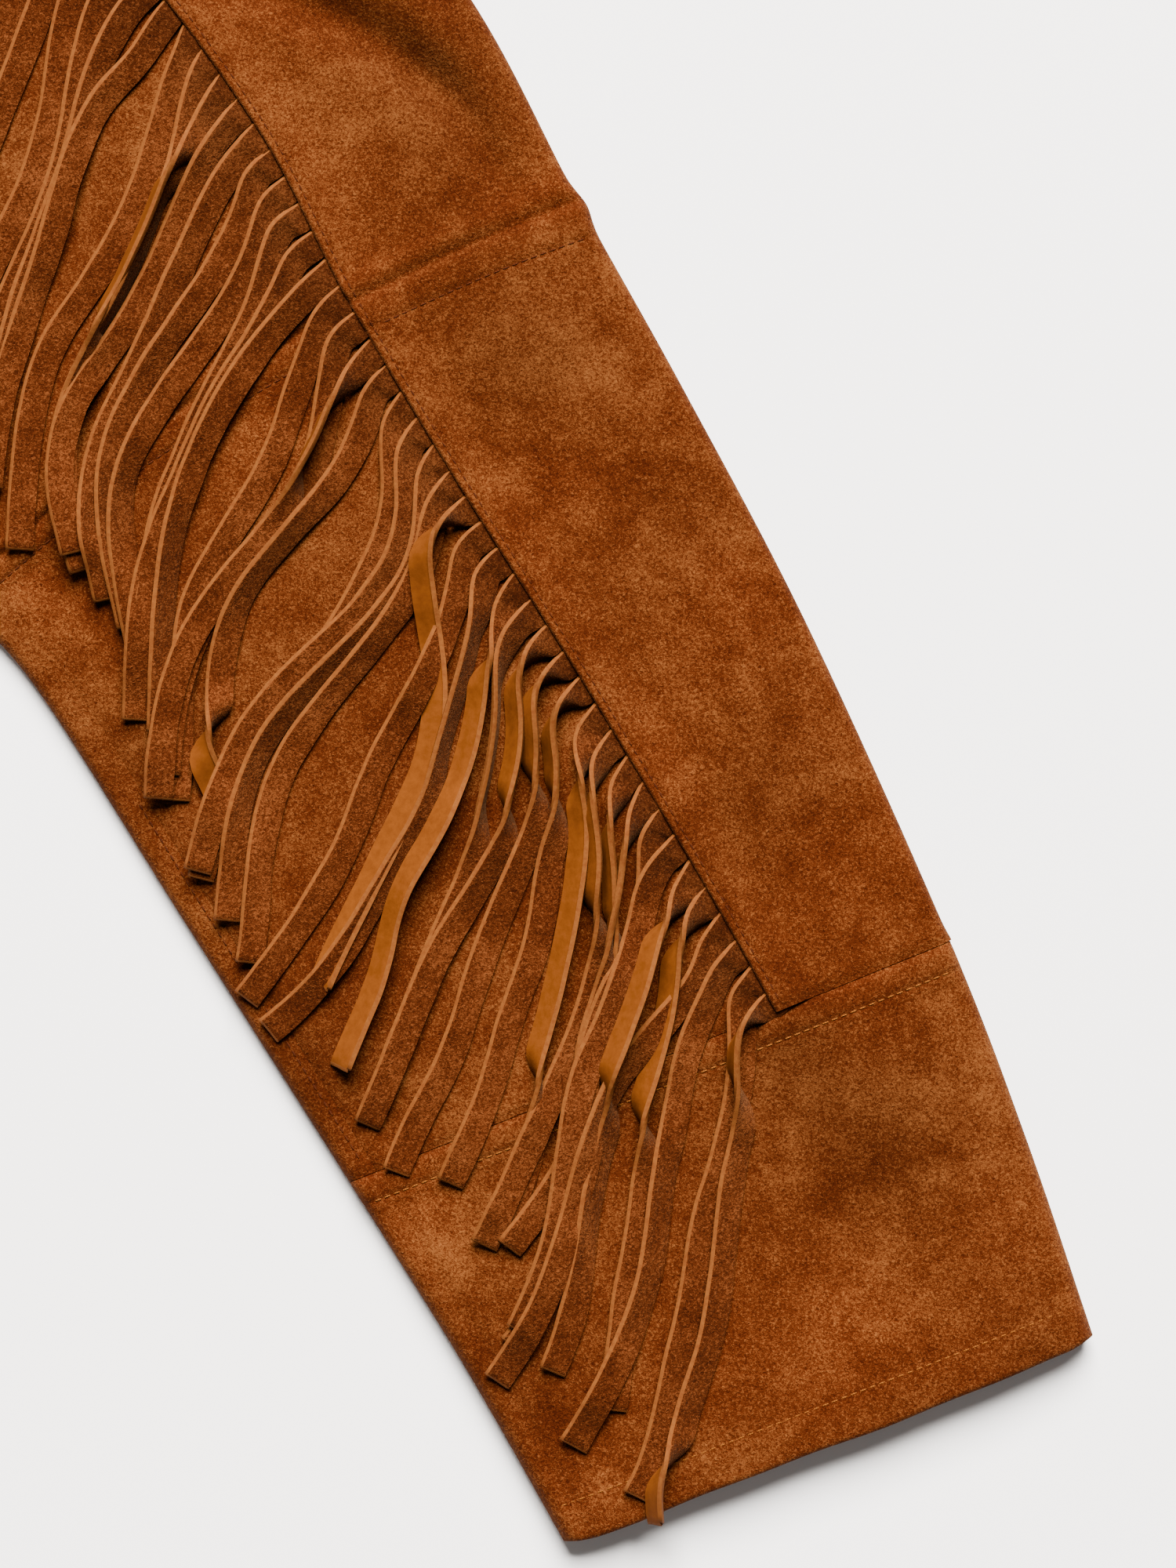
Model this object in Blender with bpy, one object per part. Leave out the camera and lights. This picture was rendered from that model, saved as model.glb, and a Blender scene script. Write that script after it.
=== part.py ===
"""Fringed suede jacket, laid flat with its front up.

The hide lies in two layers: the back and the under layer of each sleeve rest on
the table, and the fronts and the upper layer of each sleeve lie on them. Sizes
are in millimetres and become metres where the meshes are made. +X is the
wearer's left, +Y runs towards the neck, and +Z is up from the table.
"""

import math

import bmesh
import bpy

MM = 0.001

# Thickness of the hide, the gap that keeps sewn pieces apart, and the clearance
# between pieces that lie on each other.
HIDE = 1.4
SEAM_GAP = 0.3
LAY_GAP = 0.4

# The upper layer stands this far off the under layer at the folded edges, and
# rises by the crown towards the middle.
EDGE_GAP = 0.6
CROWN = 2.8
EDGE_HEIGHT = 2 * HIDE + EDGE_GAP
CROWN_POWER = 4

# Body, half widths and heights from the middle of the jacket.
HEM_Y = -315.0
NECK_Y = 315.0
NECK_HALF = 85.0
FRONT_NECK_DROP = 90.0
BACK_NECK_DROP = 23.0
OVERLAP_HALF = 15.0
OVERLAP_LEVEL = 45.0
OVERLAP_BLEND = 90.0
HEM_LIFT_SHARE = 0.5
HEM_RISE = 95.0

# Neck band, buttons.
BAND_WIDTH = 11.0
BAND_THICK = 1.2
BAND_GAP = 0.5
BAND_BACK_REACH = 76.0
BUTTON_RADIUS = 10.0
BUTTON_THICK = 3.2
BUTTON_DISH = 1.0
BUTTON_RIM = 7.4
BUTTON_SIDES = 24
BUTTON_Y = (200.0, 108.0, 16.0, -76.0, -168.0)

# Side seam of the body, from the hem to the armpit.
SIDE_ROWS = (
    # side x, y
    (255.0, HEM_Y),
    (252.0, -220.0),
    (249.0, -130.0),
    (250.0, -40.0),
    (255.0, 45.0),
)

# The left sleeve, from the armhole to the hem: each row is a section across the
# flattened tube. The bow carries the middle of a section towards the shoulder.
ARMHOLE, ELBOW, CUFF, HEM = 0.0, 5.0, 8.0, 10.0
SLEEVE_ROWS = (
    # outer x, y, inner x, y, bow, fringe seam's share of the width
    (225.0, 265.0, 255.0, 45.0, 20.0, 0.34),  # armhole
    (300.0, 237.0, 272.0, 30.0, 12.0, 0.30),  # sleeve head
    (370.0, 197.0, 292.0, 13.0, 5.0, 0.28),  # biceps
    (428.0, 150.0, 318.0, -9.0, 4.0, 0.288),  # upper arm
    (474.5, 96.0, 342.0, -30.0, 7.0, 0.314),  # above the elbow
    (503.0, 44.0, 359.5, -48.0, 9.0, 0.336),  # elbow seam
    (527.5, 0.0, 378.0, -68.0, 6.0, 0.346),  # upper forearm
    (555.8, -54.0, 411.0, -120.0, 2.0, 0.324),  # middle of the forearm
    (588.3, -126.0, 450.0, -181.5, 0.0, 0.292),  # cuff seam
    (606.0, -172.0, 476.0, -223.0, 0.0, 0.29),  # cuff
    (621.5, -218.0, 500.0, -265.0, 0.0, 0.29),  # hem
)
UNDER_SEAM_SHARE = 0.952
# Places across a section where it has a corner, as shares of the width.
SHARES = (0.04, 0.13, 0.23, 0.46, 0.60, 0.74, 0.87)
FOLD_STEPS = 4

# Reach of the fringe on the sleeve: each row is a section, with the shares of
# the width where the fringe begins and ends.
FRINGE_THICK = 2.4
FRINGE_ROWS = (
    # station, from share, to share
    (0.12, 0.36, 0.93),
    (1.0, 0.32, 0.95),
    (2.0, 0.30, 0.95),
    (3.0, 0.308, 0.95),
    (4.0, 0.335, 0.95),
    (5.0, 0.356, 0.95),
    (6.0, 0.366, 0.95),
    (7.0, 0.345, 0.96),
    (7.95, 0.315, 0.96),
    (8.6, 0.44, 0.96),
    (9.3, 0.58, 0.93),
    (9.95, 0.72, 0.88),
)
FRINGE_COLUMNS = 6

# Columns of a front, as shares of the way from its edge to its side.
FRONT_SHARES = (0.0, 0.12, 0.24, 0.42, 0.60, 0.80, 0.93, 1.0)

SUEDE_COLOUR = (0.30, 0.085, 0.018, 1.0)
FRINGE_COLOUR = (0.36, 0.11, 0.025, 1.0)
BAND_COLOUR = (0.26, 0.07, 0.015, 1.0)
BUTTON_COLOUR = (0.06, 0.03, 0.015, 1.0)


def clear_scene():
    for obj in list(bpy.data.objects):
        bpy.data.objects.remove(obj)


def material(name, colour, roughness):
    made = bpy.data.materials.new(name)
    made.use_nodes = True
    shader = made.node_tree.nodes["Principled BSDF"]
    shader.inputs["Base Color"].default_value = colour
    shader.inputs["Roughness"].default_value = roughness
    shader.inputs["Metallic"].default_value = 0.0
    return made


def node(name, bm, look):
    """Makes the mesh an object of its own, closed and facing out."""
    bmesh.ops.remove_doubles(bm, verts=bm.verts, dist=0.01 * MM)
    bmesh.ops.recalc_face_normals(bm, faces=bm.faces)
    mesh = bpy.data.meshes.new(name)
    bm.to_mesh(mesh)
    bm.free()
    mesh.materials.append(look)
    mesh.shade_smooth()
    mesh.set_sharp_from_angle(angle=math.radians(40))
    obj = bpy.data.objects.new(name, mesh)
    bpy.context.scene.collection.objects.link(obj)
    return obj


def wall(name, sections, look, side=1, tube=False):
    """A wall of hide through sections, each a list of (outer point, inner point)."""
    bm = bmesh.new()

    def vertex(point):
        return bm.verts.new((point[0] * side * MM, point[1] * MM, point[2] * MM))

    rows = [[(vertex(out), vertex(inn)) for out, inn in row] for row in sections]
    count = len(rows[0])
    steps = count if tube else count - 1
    for one, two in zip(rows, rows[1:]):
        for i in range(steps):
            j = (i + 1) % count
            for face in (0, 1):
                bm.faces.new((one[i][face], one[j][face], two[j][face], two[i][face]))
        if not tube:
            for i in (0, -1):
                bm.faces.new((one[i][0], one[i][1], two[i][1], two[i][0]))
    for row in (rows[0], rows[-1]):
        for i in range(steps):
            j = (i + 1) % count
            bm.faces.new((row[i][0], row[i][1], row[j][1], row[j][0]))
    return node(name, bm, look)


def smooth_between(before, start, end, after, share):
    """A value between start and end on a smooth curve through all four."""
    slope_in, slope_out = (end - before) / 2, (after - start) / 2
    square, cube = share**2, share**3
    return (
        (2 * cube - 3 * square + 1) * start
        + (cube - 2 * square + share) * slope_in
        + (3 * square - 2 * cube) * end
        + (cube - square) * slope_out
    )


def sleeve_row(station):
    """The sleeve's table read between its rows, on a smooth curve."""
    last = len(SLEEVE_ROWS) - 1
    low = min(int(station), last - 1)
    near = [SLEEVE_ROWS[min(max(i, 0), last)] for i in range(low - 1, low + 3)]
    return [smooth_between(*values, station - low) for values in zip(*near)]


def sleeve_width(station):
    outer_x, outer_y, inner_x, inner_y, _, _ = sleeve_row(station)
    return math.hypot(inner_x - outer_x, inner_y - outer_y)


def sleeve_plan(station, share):
    """Where a place of a sleeve section lies on the table."""
    outer_x, outer_y, inner_x, inner_y, bow, _ = sleeve_row(station)
    width = math.hypot(inner_x - outer_x, inner_y - outer_y)
    across_x, across_y = (inner_x - outer_x) / width, (inner_y - outer_y) / width
    shift = bow * 4 * share * (1 - share)
    return (
        outer_x + across_x * share * width + across_y * shift,
        outer_y + across_y * share * width - across_x * shift,
    )


def station_step(station, length):
    """How far to move a station so that the section moves by this length."""
    here, there = sleeve_plan(station - 0.05, 0.5), sleeve_plan(station + 0.05, 0.5)
    return 0.1 * length / math.dist(here, there)


def crown(share):
    """How far the upper layer rises, over its height at the folded edges."""
    return CROWN * (1 - abs(2 * share - 1) ** CROWN_POWER)


def upper_pair(station, share):
    """(outer point, inner point) of the sleeve's upper layer."""
    x, y = sleeve_plan(station, share)
    top = EDGE_HEIGHT + crown(share)
    return (x, y, top), (x, y, top - HIDE)


def under_pair(station, share):
    x, y = sleeve_plan(station, share)
    return (x, y, 0.0), (x, y, HIDE)


def fold_pairs(station, inner):
    """The round fold at the outer edge, or at the inner edge, from top to bottom."""
    radius = EDGE_HEIGHT / 2
    width = sleeve_width(station)
    pairs = []
    for i in range(FOLD_STEPS + 1):
        angle = math.pi * i / FOLD_STEPS
        pair = []
        for reach in (radius, radius - HIDE):
            share = (radius - reach * math.sin(angle)) / width
            x, y = sleeve_plan(station, 1 - share if inner else share)
            pair.append((x, y, radius + reach * math.cos(angle)))
        pairs.append(tuple(pair))
    return pairs


def fringe_share(station):
    return sleeve_row(station)[5]


def outer_section(station):
    """The outer sleeve panel: from the fringe seam round the outer fold, under the
    arm and round the inner fold, to the under seam."""
    seam = fringe_share(station)
    half_gap = SEAM_GAP / 2 / sleeve_width(station)
    upper = [seam - half_gap] + [s for s in reversed(SHARES) if s < seam - 0.04]
    return (
        [upper_pair(station, s) for s in upper]
        + fold_pairs(station, inner=False)
        + [under_pair(station, s) for s in (*SHARES[:3], seam, *SHARES[3:], 0.96)]
        + fold_pairs(station, inner=True)[::-1]
        + [upper_pair(station, UNDER_SEAM_SHARE + half_gap)]
    )


def inner_section(station):
    """The inner sleeve panel, from the fringe seam to the under seam."""
    seam = fringe_share(station)
    half_gap = SEAM_GAP / 2 / sleeve_width(station)
    shares = [seam + half_gap] + [s for s in SHARES if s > seam]
    shares.append(UNDER_SEAM_SHARE - half_gap)
    return [upper_pair(station, s) for s in shares]


def cuff_section(station):
    """The cuff goes all round the sleeve's end."""
    seam = fringe_share(station)
    shares = (*SHARES[:3], seam, *SHARES[3:], 0.96)
    return (
        [upper_pair(station, s) for s in reversed(shares)]
        + fold_pairs(station, inner=False)
        + [under_pair(station, s) for s in shares]
        + fold_pairs(station, inner=True)[::-1]
    )


def stations(start, end, count):
    """Stations of the sections of one piece, clear of the seams at its ends."""
    start += station_step(start, SEAM_GAP / 2)
    if end < HEM:
        end -= station_step(end, SEAM_GAP / 2)
    return [start + (end - start) * i / (count - 1) for i in range(count)]


def sleeve(hand, side, suede, fringe_look):
    pieces = (
        # name, section, from, to, sections, goes all round
        ("sleeve_upper_outer", outer_section, ARMHOLE, ELBOW, 10, False),
        ("sleeve_upper_inner", inner_section, ARMHOLE, ELBOW, 10, False),
        ("sleeve_forearm_outer", outer_section, ELBOW, CUFF, 6, False),
        ("sleeve_forearm_inner", inner_section, ELBOW, CUFF, 6, False),
        ("cuff", cuff_section, CUFF, HEM, 4, True),
    )
    for name, section, start, end, count, tube in pieces:
        rows = [section(s) for s in stations(start, end, count)]
        wall(f"{name}_{hand}", rows, suede, side, tube)
    wall(f"sleeve_fringe_{hand}", fringe_sections(), fringe_look, side)


def fringe_sections():
    """The space that the fringe fills, on the sleeve's own surface."""
    rows = []
    for station, start, end in FRINGE_ROWS:
        row = []
        for i in range(FRINGE_COLUMNS + 1):
            share = start + (end - start) * i / FRINGE_COLUMNS
            (x, y, top), _ = upper_pair(station, share)
            low = top + LAY_GAP
            row.append(((x, y, low + FRINGE_THICK), (x, y, low)))
        rows.append(row)
    return rows


def armhole(share):
    """The body's side of the armhole seam, from the shoulder to the armpit."""
    x, y = sleeve_plan(ARMHOLE, share)
    return x - SEAM_GAP / 2, y


def neckline(x, drop):
    """Height of the neckline at a distance from the middle."""
    return NECK_Y - drop * math.sqrt(max(0.0, 1 - (x / NECK_HALF) ** 2))


def armhole_shares():
    seam = fringe_share(ARMHOLE)
    return (0.0, *SHARES[:3], seam, *SHARES[3:], 0.96, 1.0)


def front_rows():
    """(edge point, side point, lift at the edge, lift at the side) from hem to
    shoulder. The edge runs up the front opening and then round the neckline."""
    rows = []
    for side_x, y in SIDE_ROWS[:-1]:
        rise = HEM_LIFT_SHARE + (1 - HEM_LIFT_SHARE) * min(1.0, (y - HEM_Y) / HEM_RISE)
        rows.append(((-OVERLAP_HALF, y), (side_x, y), rise, 0.0))
    shares = armhole_shares()[::-1]
    armpit_y = SIDE_ROWS[-1][1]
    opening_top = neckline(OVERLAP_HALF, FRONT_NECK_DROP)
    opening_rows = 5
    for i, share in enumerate(shares):
        if i <= opening_rows:
            y = armpit_y + (opening_top - armpit_y) * i / opening_rows
            edge = (-OVERLAP_HALF, y)
        else:
            turn = (i - opening_rows - 1) / (len(shares) - 2 - opening_rows)
            first = math.asin((OVERLAP_HALF + 1.0) / NECK_HALF)
            angle = first + (math.pi / 2 - first) * turn
            x = NECK_HALF * math.sin(angle)
            edge = (x, neckline(x, FRONT_NECK_DROP))
        at_side = crown(share) / CROWN
        at_edge = 1.0 if share > 0.5 else at_side
        rows.append((edge, armhole(share), at_edge, at_side))
    return rows


def overlap_lift(x):
    """The left front lies on the right front where the two overlap."""
    ramp = (OVERLAP_BLEND - x) / (OVERLAP_BLEND - OVERLAP_LEVEL)
    return (HIDE + LAY_GAP) * min(1.0, max(0.0, ramp))


def front_point(row, share, lapped):
    """Top of a front at a share of the way from its edge to its side."""
    (edge_x, edge_y), (side_x, side_y), at_edge, at_side = row
    x = edge_x + (side_x - edge_x) * share
    y = edge_y + (side_y - edge_y) * share
    lift = at_edge + (at_side - at_edge) * share**CROWN_POWER
    return x, y, EDGE_HEIGHT + CROWN * lift + (overlap_lift(x) if lapped else 0.0)


def front(name, side, lapped, look):
    rows = []
    for row in front_rows():
        tops = [front_point(row, share, lapped) for share in FRONT_SHARES]
        rows.append([(top, (top[0], top[1], top[2] - HIDE)) for top in tops])
    return wall(name, rows, look, side)


def front_band(name, side, lapped, look):
    """The stretch of the neck band on one front, on the front's own points."""
    rows = []
    for row in front_rows():
        (edge_x, edge_y), (side_x, side_y) = row[0], row[1]
        if edge_y < neckline(OVERLAP_HALF, FRONT_NECK_DROP) - 0.01:
            continue
        if edge_x < 0 and not lapped:
            continue
        length = math.dist((edge_x, edge_y), (side_x, side_y))
        band = []
        for share in (0.0, BAND_WIDTH / length):
            first, second = (front_point(row, s, lapped) for s in FRONT_SHARES[:2])
            part = share / FRONT_SHARES[1]
            x, y, z = (a + (b - a) * part for a, b in zip(first, second))
            low = z + BAND_GAP
            band.append(((x, y, low + BAND_THICK), (x, y, low)))
        rows.append(band)
    return wall(name, rows, look, side)


def back_band(look):
    """The stretch of the neck band inside the back neckline."""
    steps = 12
    rows = []
    for i in range(steps + 1):
        x = BAND_BACK_REACH * (2 * i / steps - 1)
        y = neckline(x, BACK_NECK_DROP)
        low = HIDE + SEAM_GAP
        rows.append(
            [
                ((x, edge, low + BAND_THICK), (x, edge, low))
                for edge in (y - 0.5, y - BAND_WIDTH)
            ]
        )
    return wall("neck_band_back", rows, look)


def back(look):
    """The back lies flat on the table: its outline, raised by the hide."""
    right_half = [*SIDE_ROWS[:-1]]
    right_half += [armhole(share) for share in reversed(armhole_shares())]
    steps = 8
    for i in range(steps):
        x = NECK_HALF * math.cos(math.pi / 2 * i / steps)
        right_half.append((x, neckline(x, BACK_NECK_DROP)))
    outline = [*right_half, (0.0, neckline(0.0, BACK_NECK_DROP))]
    outline += [(-x, y) for x, y in reversed(right_half)]
    bm = bmesh.new()
    flat = bm.faces.new([bm.verts.new((x * MM, y * MM, 0.0)) for x, y in outline])
    raised = bmesh.ops.extrude_face_region(bm, geom=[flat])
    top = [item for item in raised["geom"] if isinstance(item, bmesh.types.BMVert)]
    bmesh.ops.translate(bm, verts=top, vec=(0.0, 0.0, HIDE * MM))
    return node("back", bm, look)


def button(number, y, look):
    """A round button, turned from its profile, on the left front."""
    lift = (EDGE_HEIGHT + CROWN + HIDE + 2 * LAY_GAP + 0.2) * MM
    profile = (
        # radius, height
        (0.0, 0.0),
        (BUTTON_RADIUS - 1.0, 0.0),
        (BUTTON_RADIUS, 1.0),
        (BUTTON_RADIUS, BUTTON_THICK - 0.8),
        (BUTTON_RADIUS - 1.0, BUTTON_THICK),
        (BUTTON_RIM, BUTTON_THICK),
        (BUTTON_RIM - 1.0, BUTTON_THICK - BUTTON_DISH),
        (0.0, BUTTON_THICK - BUTTON_DISH),
    )
    bm = bmesh.new()
    line = [bm.verts.new((r * MM, y * MM, h * MM + lift)) for r, h in profile]
    edges = [bm.edges.new(pair) for pair in zip(line, line[1:])]
    bmesh.ops.spin(
        bm,
        geom=line + edges,
        cent=(0.0, y * MM, 0.0),
        axis=(0.0, 0.0, 1.0),
        angle=2 * math.pi,
        steps=BUTTON_SIDES,
        use_merge=True,
    )
    return node(f"button_{number}", bm, look)


def build():
    clear_scene()
    suede = material("suede", SUEDE_COLOUR, 0.95)
    fringe_look = material("fringe_suede", FRINGE_COLOUR, 0.95)
    band_look = material("band_suede", BAND_COLOUR, 0.95)
    horn = material("horn", BUTTON_COLOUR, 0.35)
    back(suede)
    front("front_right", -1, False, suede)
    front("front_left", 1, True, suede)
    front_band("neck_band_right", -1, False, band_look)
    front_band("neck_band_left", 1, True, band_look)
    back_band(band_look)
    for hand, side in (("left", 1), ("right", -1)):
        sleeve(hand, side, suede, fringe_look)
    for number, y in enumerate(BUTTON_Y, start=1):
        button(number, y, horn)


build()
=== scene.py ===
import math

import bmesh
import bpy
import numpy as np
from mathutils import Matrix, Vector


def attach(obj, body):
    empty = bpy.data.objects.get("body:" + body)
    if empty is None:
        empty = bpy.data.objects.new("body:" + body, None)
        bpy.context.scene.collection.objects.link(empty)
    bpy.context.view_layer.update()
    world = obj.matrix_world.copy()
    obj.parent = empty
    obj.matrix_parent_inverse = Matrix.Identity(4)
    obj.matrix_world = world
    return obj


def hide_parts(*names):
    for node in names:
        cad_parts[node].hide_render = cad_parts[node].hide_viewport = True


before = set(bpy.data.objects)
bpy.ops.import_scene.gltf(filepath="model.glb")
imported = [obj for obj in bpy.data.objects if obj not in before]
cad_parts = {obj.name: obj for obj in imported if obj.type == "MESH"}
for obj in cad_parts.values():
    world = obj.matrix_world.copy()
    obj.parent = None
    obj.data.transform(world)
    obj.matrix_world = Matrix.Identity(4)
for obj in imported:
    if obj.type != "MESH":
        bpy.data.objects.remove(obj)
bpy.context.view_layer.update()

MM = 0.001


# The table, the studio light and the camera. The jacket lies on a plain white
# table, and the camera looks straight down on the left sleeve.
FRAME_CENTRE = Vector((505.0 * MM, -90.0 * MM, 6.0 * MM))
FRAME_HEIGHT = 360.0 * MM
LENS = 100.0
SENSOR = 36.0
TABLE_HALF = 4.0
TABLE_WHITE = (0.94, 0.905, 0.88, 1.0)
ROOM_WHITE = (1.0, 0.99, 0.98, 1.0)
ROOM_LIGHT = 0.11


def new_object(name, data):
    obj = bpy.data.objects.new(name, data)
    bpy.context.scene.collection.objects.link(obj)
    return obj


def new_mesh(name, bm):
    mesh = bpy.data.meshes.new(name)
    bm.to_mesh(mesh)
    bm.free()
    return mesh


def softbox(name, place, target, size, watts, colour):
    light = bpy.data.lights.new(name, "AREA")
    light.shape = "RECTANGLE"
    light.size, light.size_y = size
    light.energy = watts
    light.color = colour
    obj = new_object(name, light)
    obj.location = place
    obj.rotation_euler = (Vector(target) - Vector(place)).to_track_quat("-Z", "Y").to_euler()


def new_finish(name, roughness, specular):
    """A material, its shader, and its nodes and links to build on."""
    made = bpy.data.materials.new(name)
    made.use_nodes = True
    nodes, links = made.node_tree.nodes, made.node_tree.links
    shader = nodes["Principled BSDF"]
    shader.inputs["Roughness"].default_value = roughness
    shader.inputs["Specular IOR Level"].default_value = specular
    return made, shader, nodes, links


def table_top():
    bm = bmesh.new()
    bmesh.ops.create_grid(bm, x_segments=1, y_segments=1, size=TABLE_HALF)
    mesh = new_mesh("table", bm)
    table_white, shader, _, _ = new_finish("table_white", 0.7, 0.2)
    shader.inputs["Base Color"].default_value = TABLE_WHITE
    mesh.materials.append(table_white)
    obj = new_object("table", mesh)


table_top()
softbox("key", (0.70, 4.1, 4.3), (0.5, -0.09, 0.0), (3.5, 3.5), 2900.0, (1.0, 0.985, 0.97))
softbox("fill", (-0.2, -1.6, 1.7), (0.48, -0.2, 0.0), (1.4, 1.4), 4.0, (1.0, 0.99, 0.98))
world = bpy.data.worlds.new("studio")
world.use_nodes = True
background = world.node_tree.nodes["Background"]
background.inputs["Color"].default_value = ROOM_WHITE
background.inputs["Strength"].default_value = ROOM_LIGHT
bpy.context.scene.world = world
camera = new_object("camera", bpy.data.cameras.new("camera"))
camera.data.lens = LENS
camera.data.sensor_width = SENSOR
camera.location = FRAME_CENTRE + Vector((0.0, 0.0, FRAME_HEIGHT * LENS / SENSOR))
bpy.context.scene.camera = camera


# The sleeves' outer panels, of rust-brown suede. Each goes from the fringe seam
# round both folds to the under seam, with its edge turned and stitched over the
# fringe's head. A seam across the elbow parts the upper sleeve from the forearm.
HANDS = (("left", 1), ("right", -1))
HIDE = 1.4 * MM
SEAM_GAP = 0.04 * MM
ARMHOLE, ELBOW, CUFF, HEM = 0.0, 5.0, 8.0, 10.0
SLEEVE_ROWS = (
    # outer x, y, inner x, y, bow, fringe seam's share of the width, fold radius
    (225.0, 265.0, 255.0, 45.0, 20.0, 0.34, 1.9),  # armhole
    (300.0, 237.0, 272.0, 30.0, 12.0, 0.30, 2.4),  # sleeve head
    (370.0, 197.0, 292.0, 13.0, 5.0, 0.28, 2.7),  # biceps
    (428.0, 150.0, 318.0, -9.0, 4.0, 0.288, 2.9),  # upper arm
    (474.5, 96.0, 342.0, -30.0, 7.0, 0.314, 3.0),  # above the elbow
    (503.0, 44.0, 359.5, -48.0, 9.0, 0.336, 2.9),  # elbow seam
    (527.5, 0.0, 378.0, -68.0, 6.0, 0.346, 2.8),  # upper forearm
    (555.8, -54.0, 411.0, -120.0, 2.0, 0.324, 2.8),  # middle of the forearm
    (588.3, -126.0, 450.0, -181.5, 0.0, 0.292, 3.1),  # cuff seam
    (606.0, -172.0, 476.0, -223.0, 0.0, 0.29, 3.7),  # cuff
    (621.5, -218.0, 500.0, -265.0, 0.0, 0.29, 4.2),  # hem
)
SHARP_TURN = math.radians(55)
UNDER_SEAM_SHARE = 0.952
UNDER_SEAM_DEPTH = 0.4 * MM
UNDER_SEAM_FROM, UNDER_SEAM_FULL = 5.6, 7.0
CROWN = 2.6 * MM
SEAM_ALLOWANCE = 6.8 * MM
ELBOW_SWELL, CUFF_SWELL = 0.8, 0.2
HEM_TURN = 6.5 * MM
HEM_DOUBLED, HEM_FURROW = 0.5 * MM, 0.5 * MM
FRINGE_LIFT, FRINGE_LIFT_REACH = 2.3 * MM, 12.0 * MM
TURNED_EDGE = 0.9 * MM
TOPSTITCH_IN = 2.0 * MM
SLEEVE_FOLDS = (
    # start x, y, end x, y, bow, height, width
    (418.0, 97.0, 472.0, 70.0, 3.0, -4.0, 5.6),  # trough above the elbow
    (464.0, 74.0, 487.0, 45.0, 3.0, -2.2, 6.0),
    (444.0, 106.0, 482.0, 86.0, 4.0, 3.6, 12.0),  # the swell over it
    (478.0, 20.0, 496.0, 6.0, 0.0, 0.9, 14.0),
    (500.0, -12.0, 520.0, -34.0, 4.0, -0.7, 9.0),
    (538.0, -40.0, 530.0, -75.0, 3.0, 0.9, 15.0),
    (560.0, -92.0, 575.0, -118.0, -3.0, -0.8, 10.0),
    (560.0, -150.0, 590.0, -196.0, 4.0, 0.8, 15.0),
    (530.0, -170.0, 556.0, -226.0, -4.0, -0.8, 12.0),
    (500.0, -205.0, 520.0, -250.0, 3.0, 0.7, 12.0),
    (455.0, -160.0, 480.0, -205.0, 4.0, -0.8, 9.0),
    (420.0, -100.0, 445.0, -150.0, -4.0, 1.0, 13.0),
    (372.0, -40.0, 402.0, -66.0, 5.0, -1.0, 9.0),
    (350.0, 160.0, 402.0, 128.0, 8.0, -1.8, 9.0),  # upper arm
    (322.0, 196.0, 370.0, 170.0, 6.0, 1.8, 14.0),
    (262.0, 226.0, 312.0, 205.0, -7.0, -1.9, 8.0),
    (268.0, 60.0, 330.0, 62.0, 12.0, -2.2, 9.0),
    (280.0, 92.0, 345.0, 40.0, 12.0, 1.6, 12.0),
    (300.0, 20.0, 352.0, -10.0, -6.0, -1.6, 7.0),
    (250.0, 120.0, 300.0, 100.0, 9.0, -1.5, 10.0),
)
# Patches of tone over the hide. They are partly the brushed nap's own uneven tone and partly
# painted shade and light where folds and seams shade the hide, as below the trough and the elbow
# seam.
NAP_AND_SHADE_PATCHES = (
    # x, y, reach, and how much lighter or darker the hide is painted there
    (471.0, 67.0, 22.0, -0.20),  # below the trough
    (496.0, 46.0, 13.0, 0.12),
    (460.0, 30.0, 10.0, 0.04),
    (489.0, 9.0, 20.0, -0.22),  # below the elbow seam
    (452.0, 55.0, 12.0, 0.08),
    (494.0, -25.0, 16.0, 0.12),
    (527.0, -32.0, 20.0, -0.10),
    (539.0, -47.0, 13.0, 0.16),
    (541.0, -92.0, 16.0, -0.14),
    (525.0, -82.0, 13.0, 0.18),
    (570.0, -106.0, 13.0, 0.15),
    (552.0, -122.0, 9.0, 0.12),
    (572.0, -171.0, 23.0, -0.30),  # middle of the cuff
    (551.0, -152.0, 12.0, -0.22),
    (564.0, -214.0, 20.0, 0.30),
    (600.0, -190.0, 13.0, 0.12),
    (579.0, -236.0, 13.0, -0.15),
    (608.0, -219.0, 9.0, -0.15),
    (506.0, -248.0, 15.0, 0.22),
    (530.0, -226.0, 12.0, 0.12),
    (569.0, -138.0, 9.0, 0.12),
    (464.0, -190.0, 14.0, 0.25),
    (440.0, -160.0, 12.0, -0.15),
    (429.0, -10.0, 17.0, 0.18),
    (381.0, -43.0, 15.0, 0.22),
    (408.0, -80.0, 12.0, -0.20),
    (395.0, 10.0, 16.0, 0.12),
    (340.0, 120.0, 40.0, 0.15),
    (300.0, 60.0, 45.0, -0.15),
    (180.0, 150.0, 60.0, 0.12),
    (120.0, -60.0, 70.0, -0.12),
    (200.0, -180.0, 60.0, 0.14),
)


def bell(distance, reach):
    """1 at no distance, and falling softly away on both sides."""
    return np.exp(-((distance / reach) ** 2))


def nap_and_shade_tone(x, y):
    """How light the hide is at x, y, where 1 is as the hide's middle tone: the nap's own tone and
    painted shade and light.
    """
    total = np.ones_like(x)
    for patch_x, patch_y, reach, tone in NAP_AND_SHADE_PATCHES:
        off = np.hypot(np.abs(x) - patch_x * MM, y - patch_y * MM)
        total = total + tone * bell(off, reach * MM)
    return total


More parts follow.
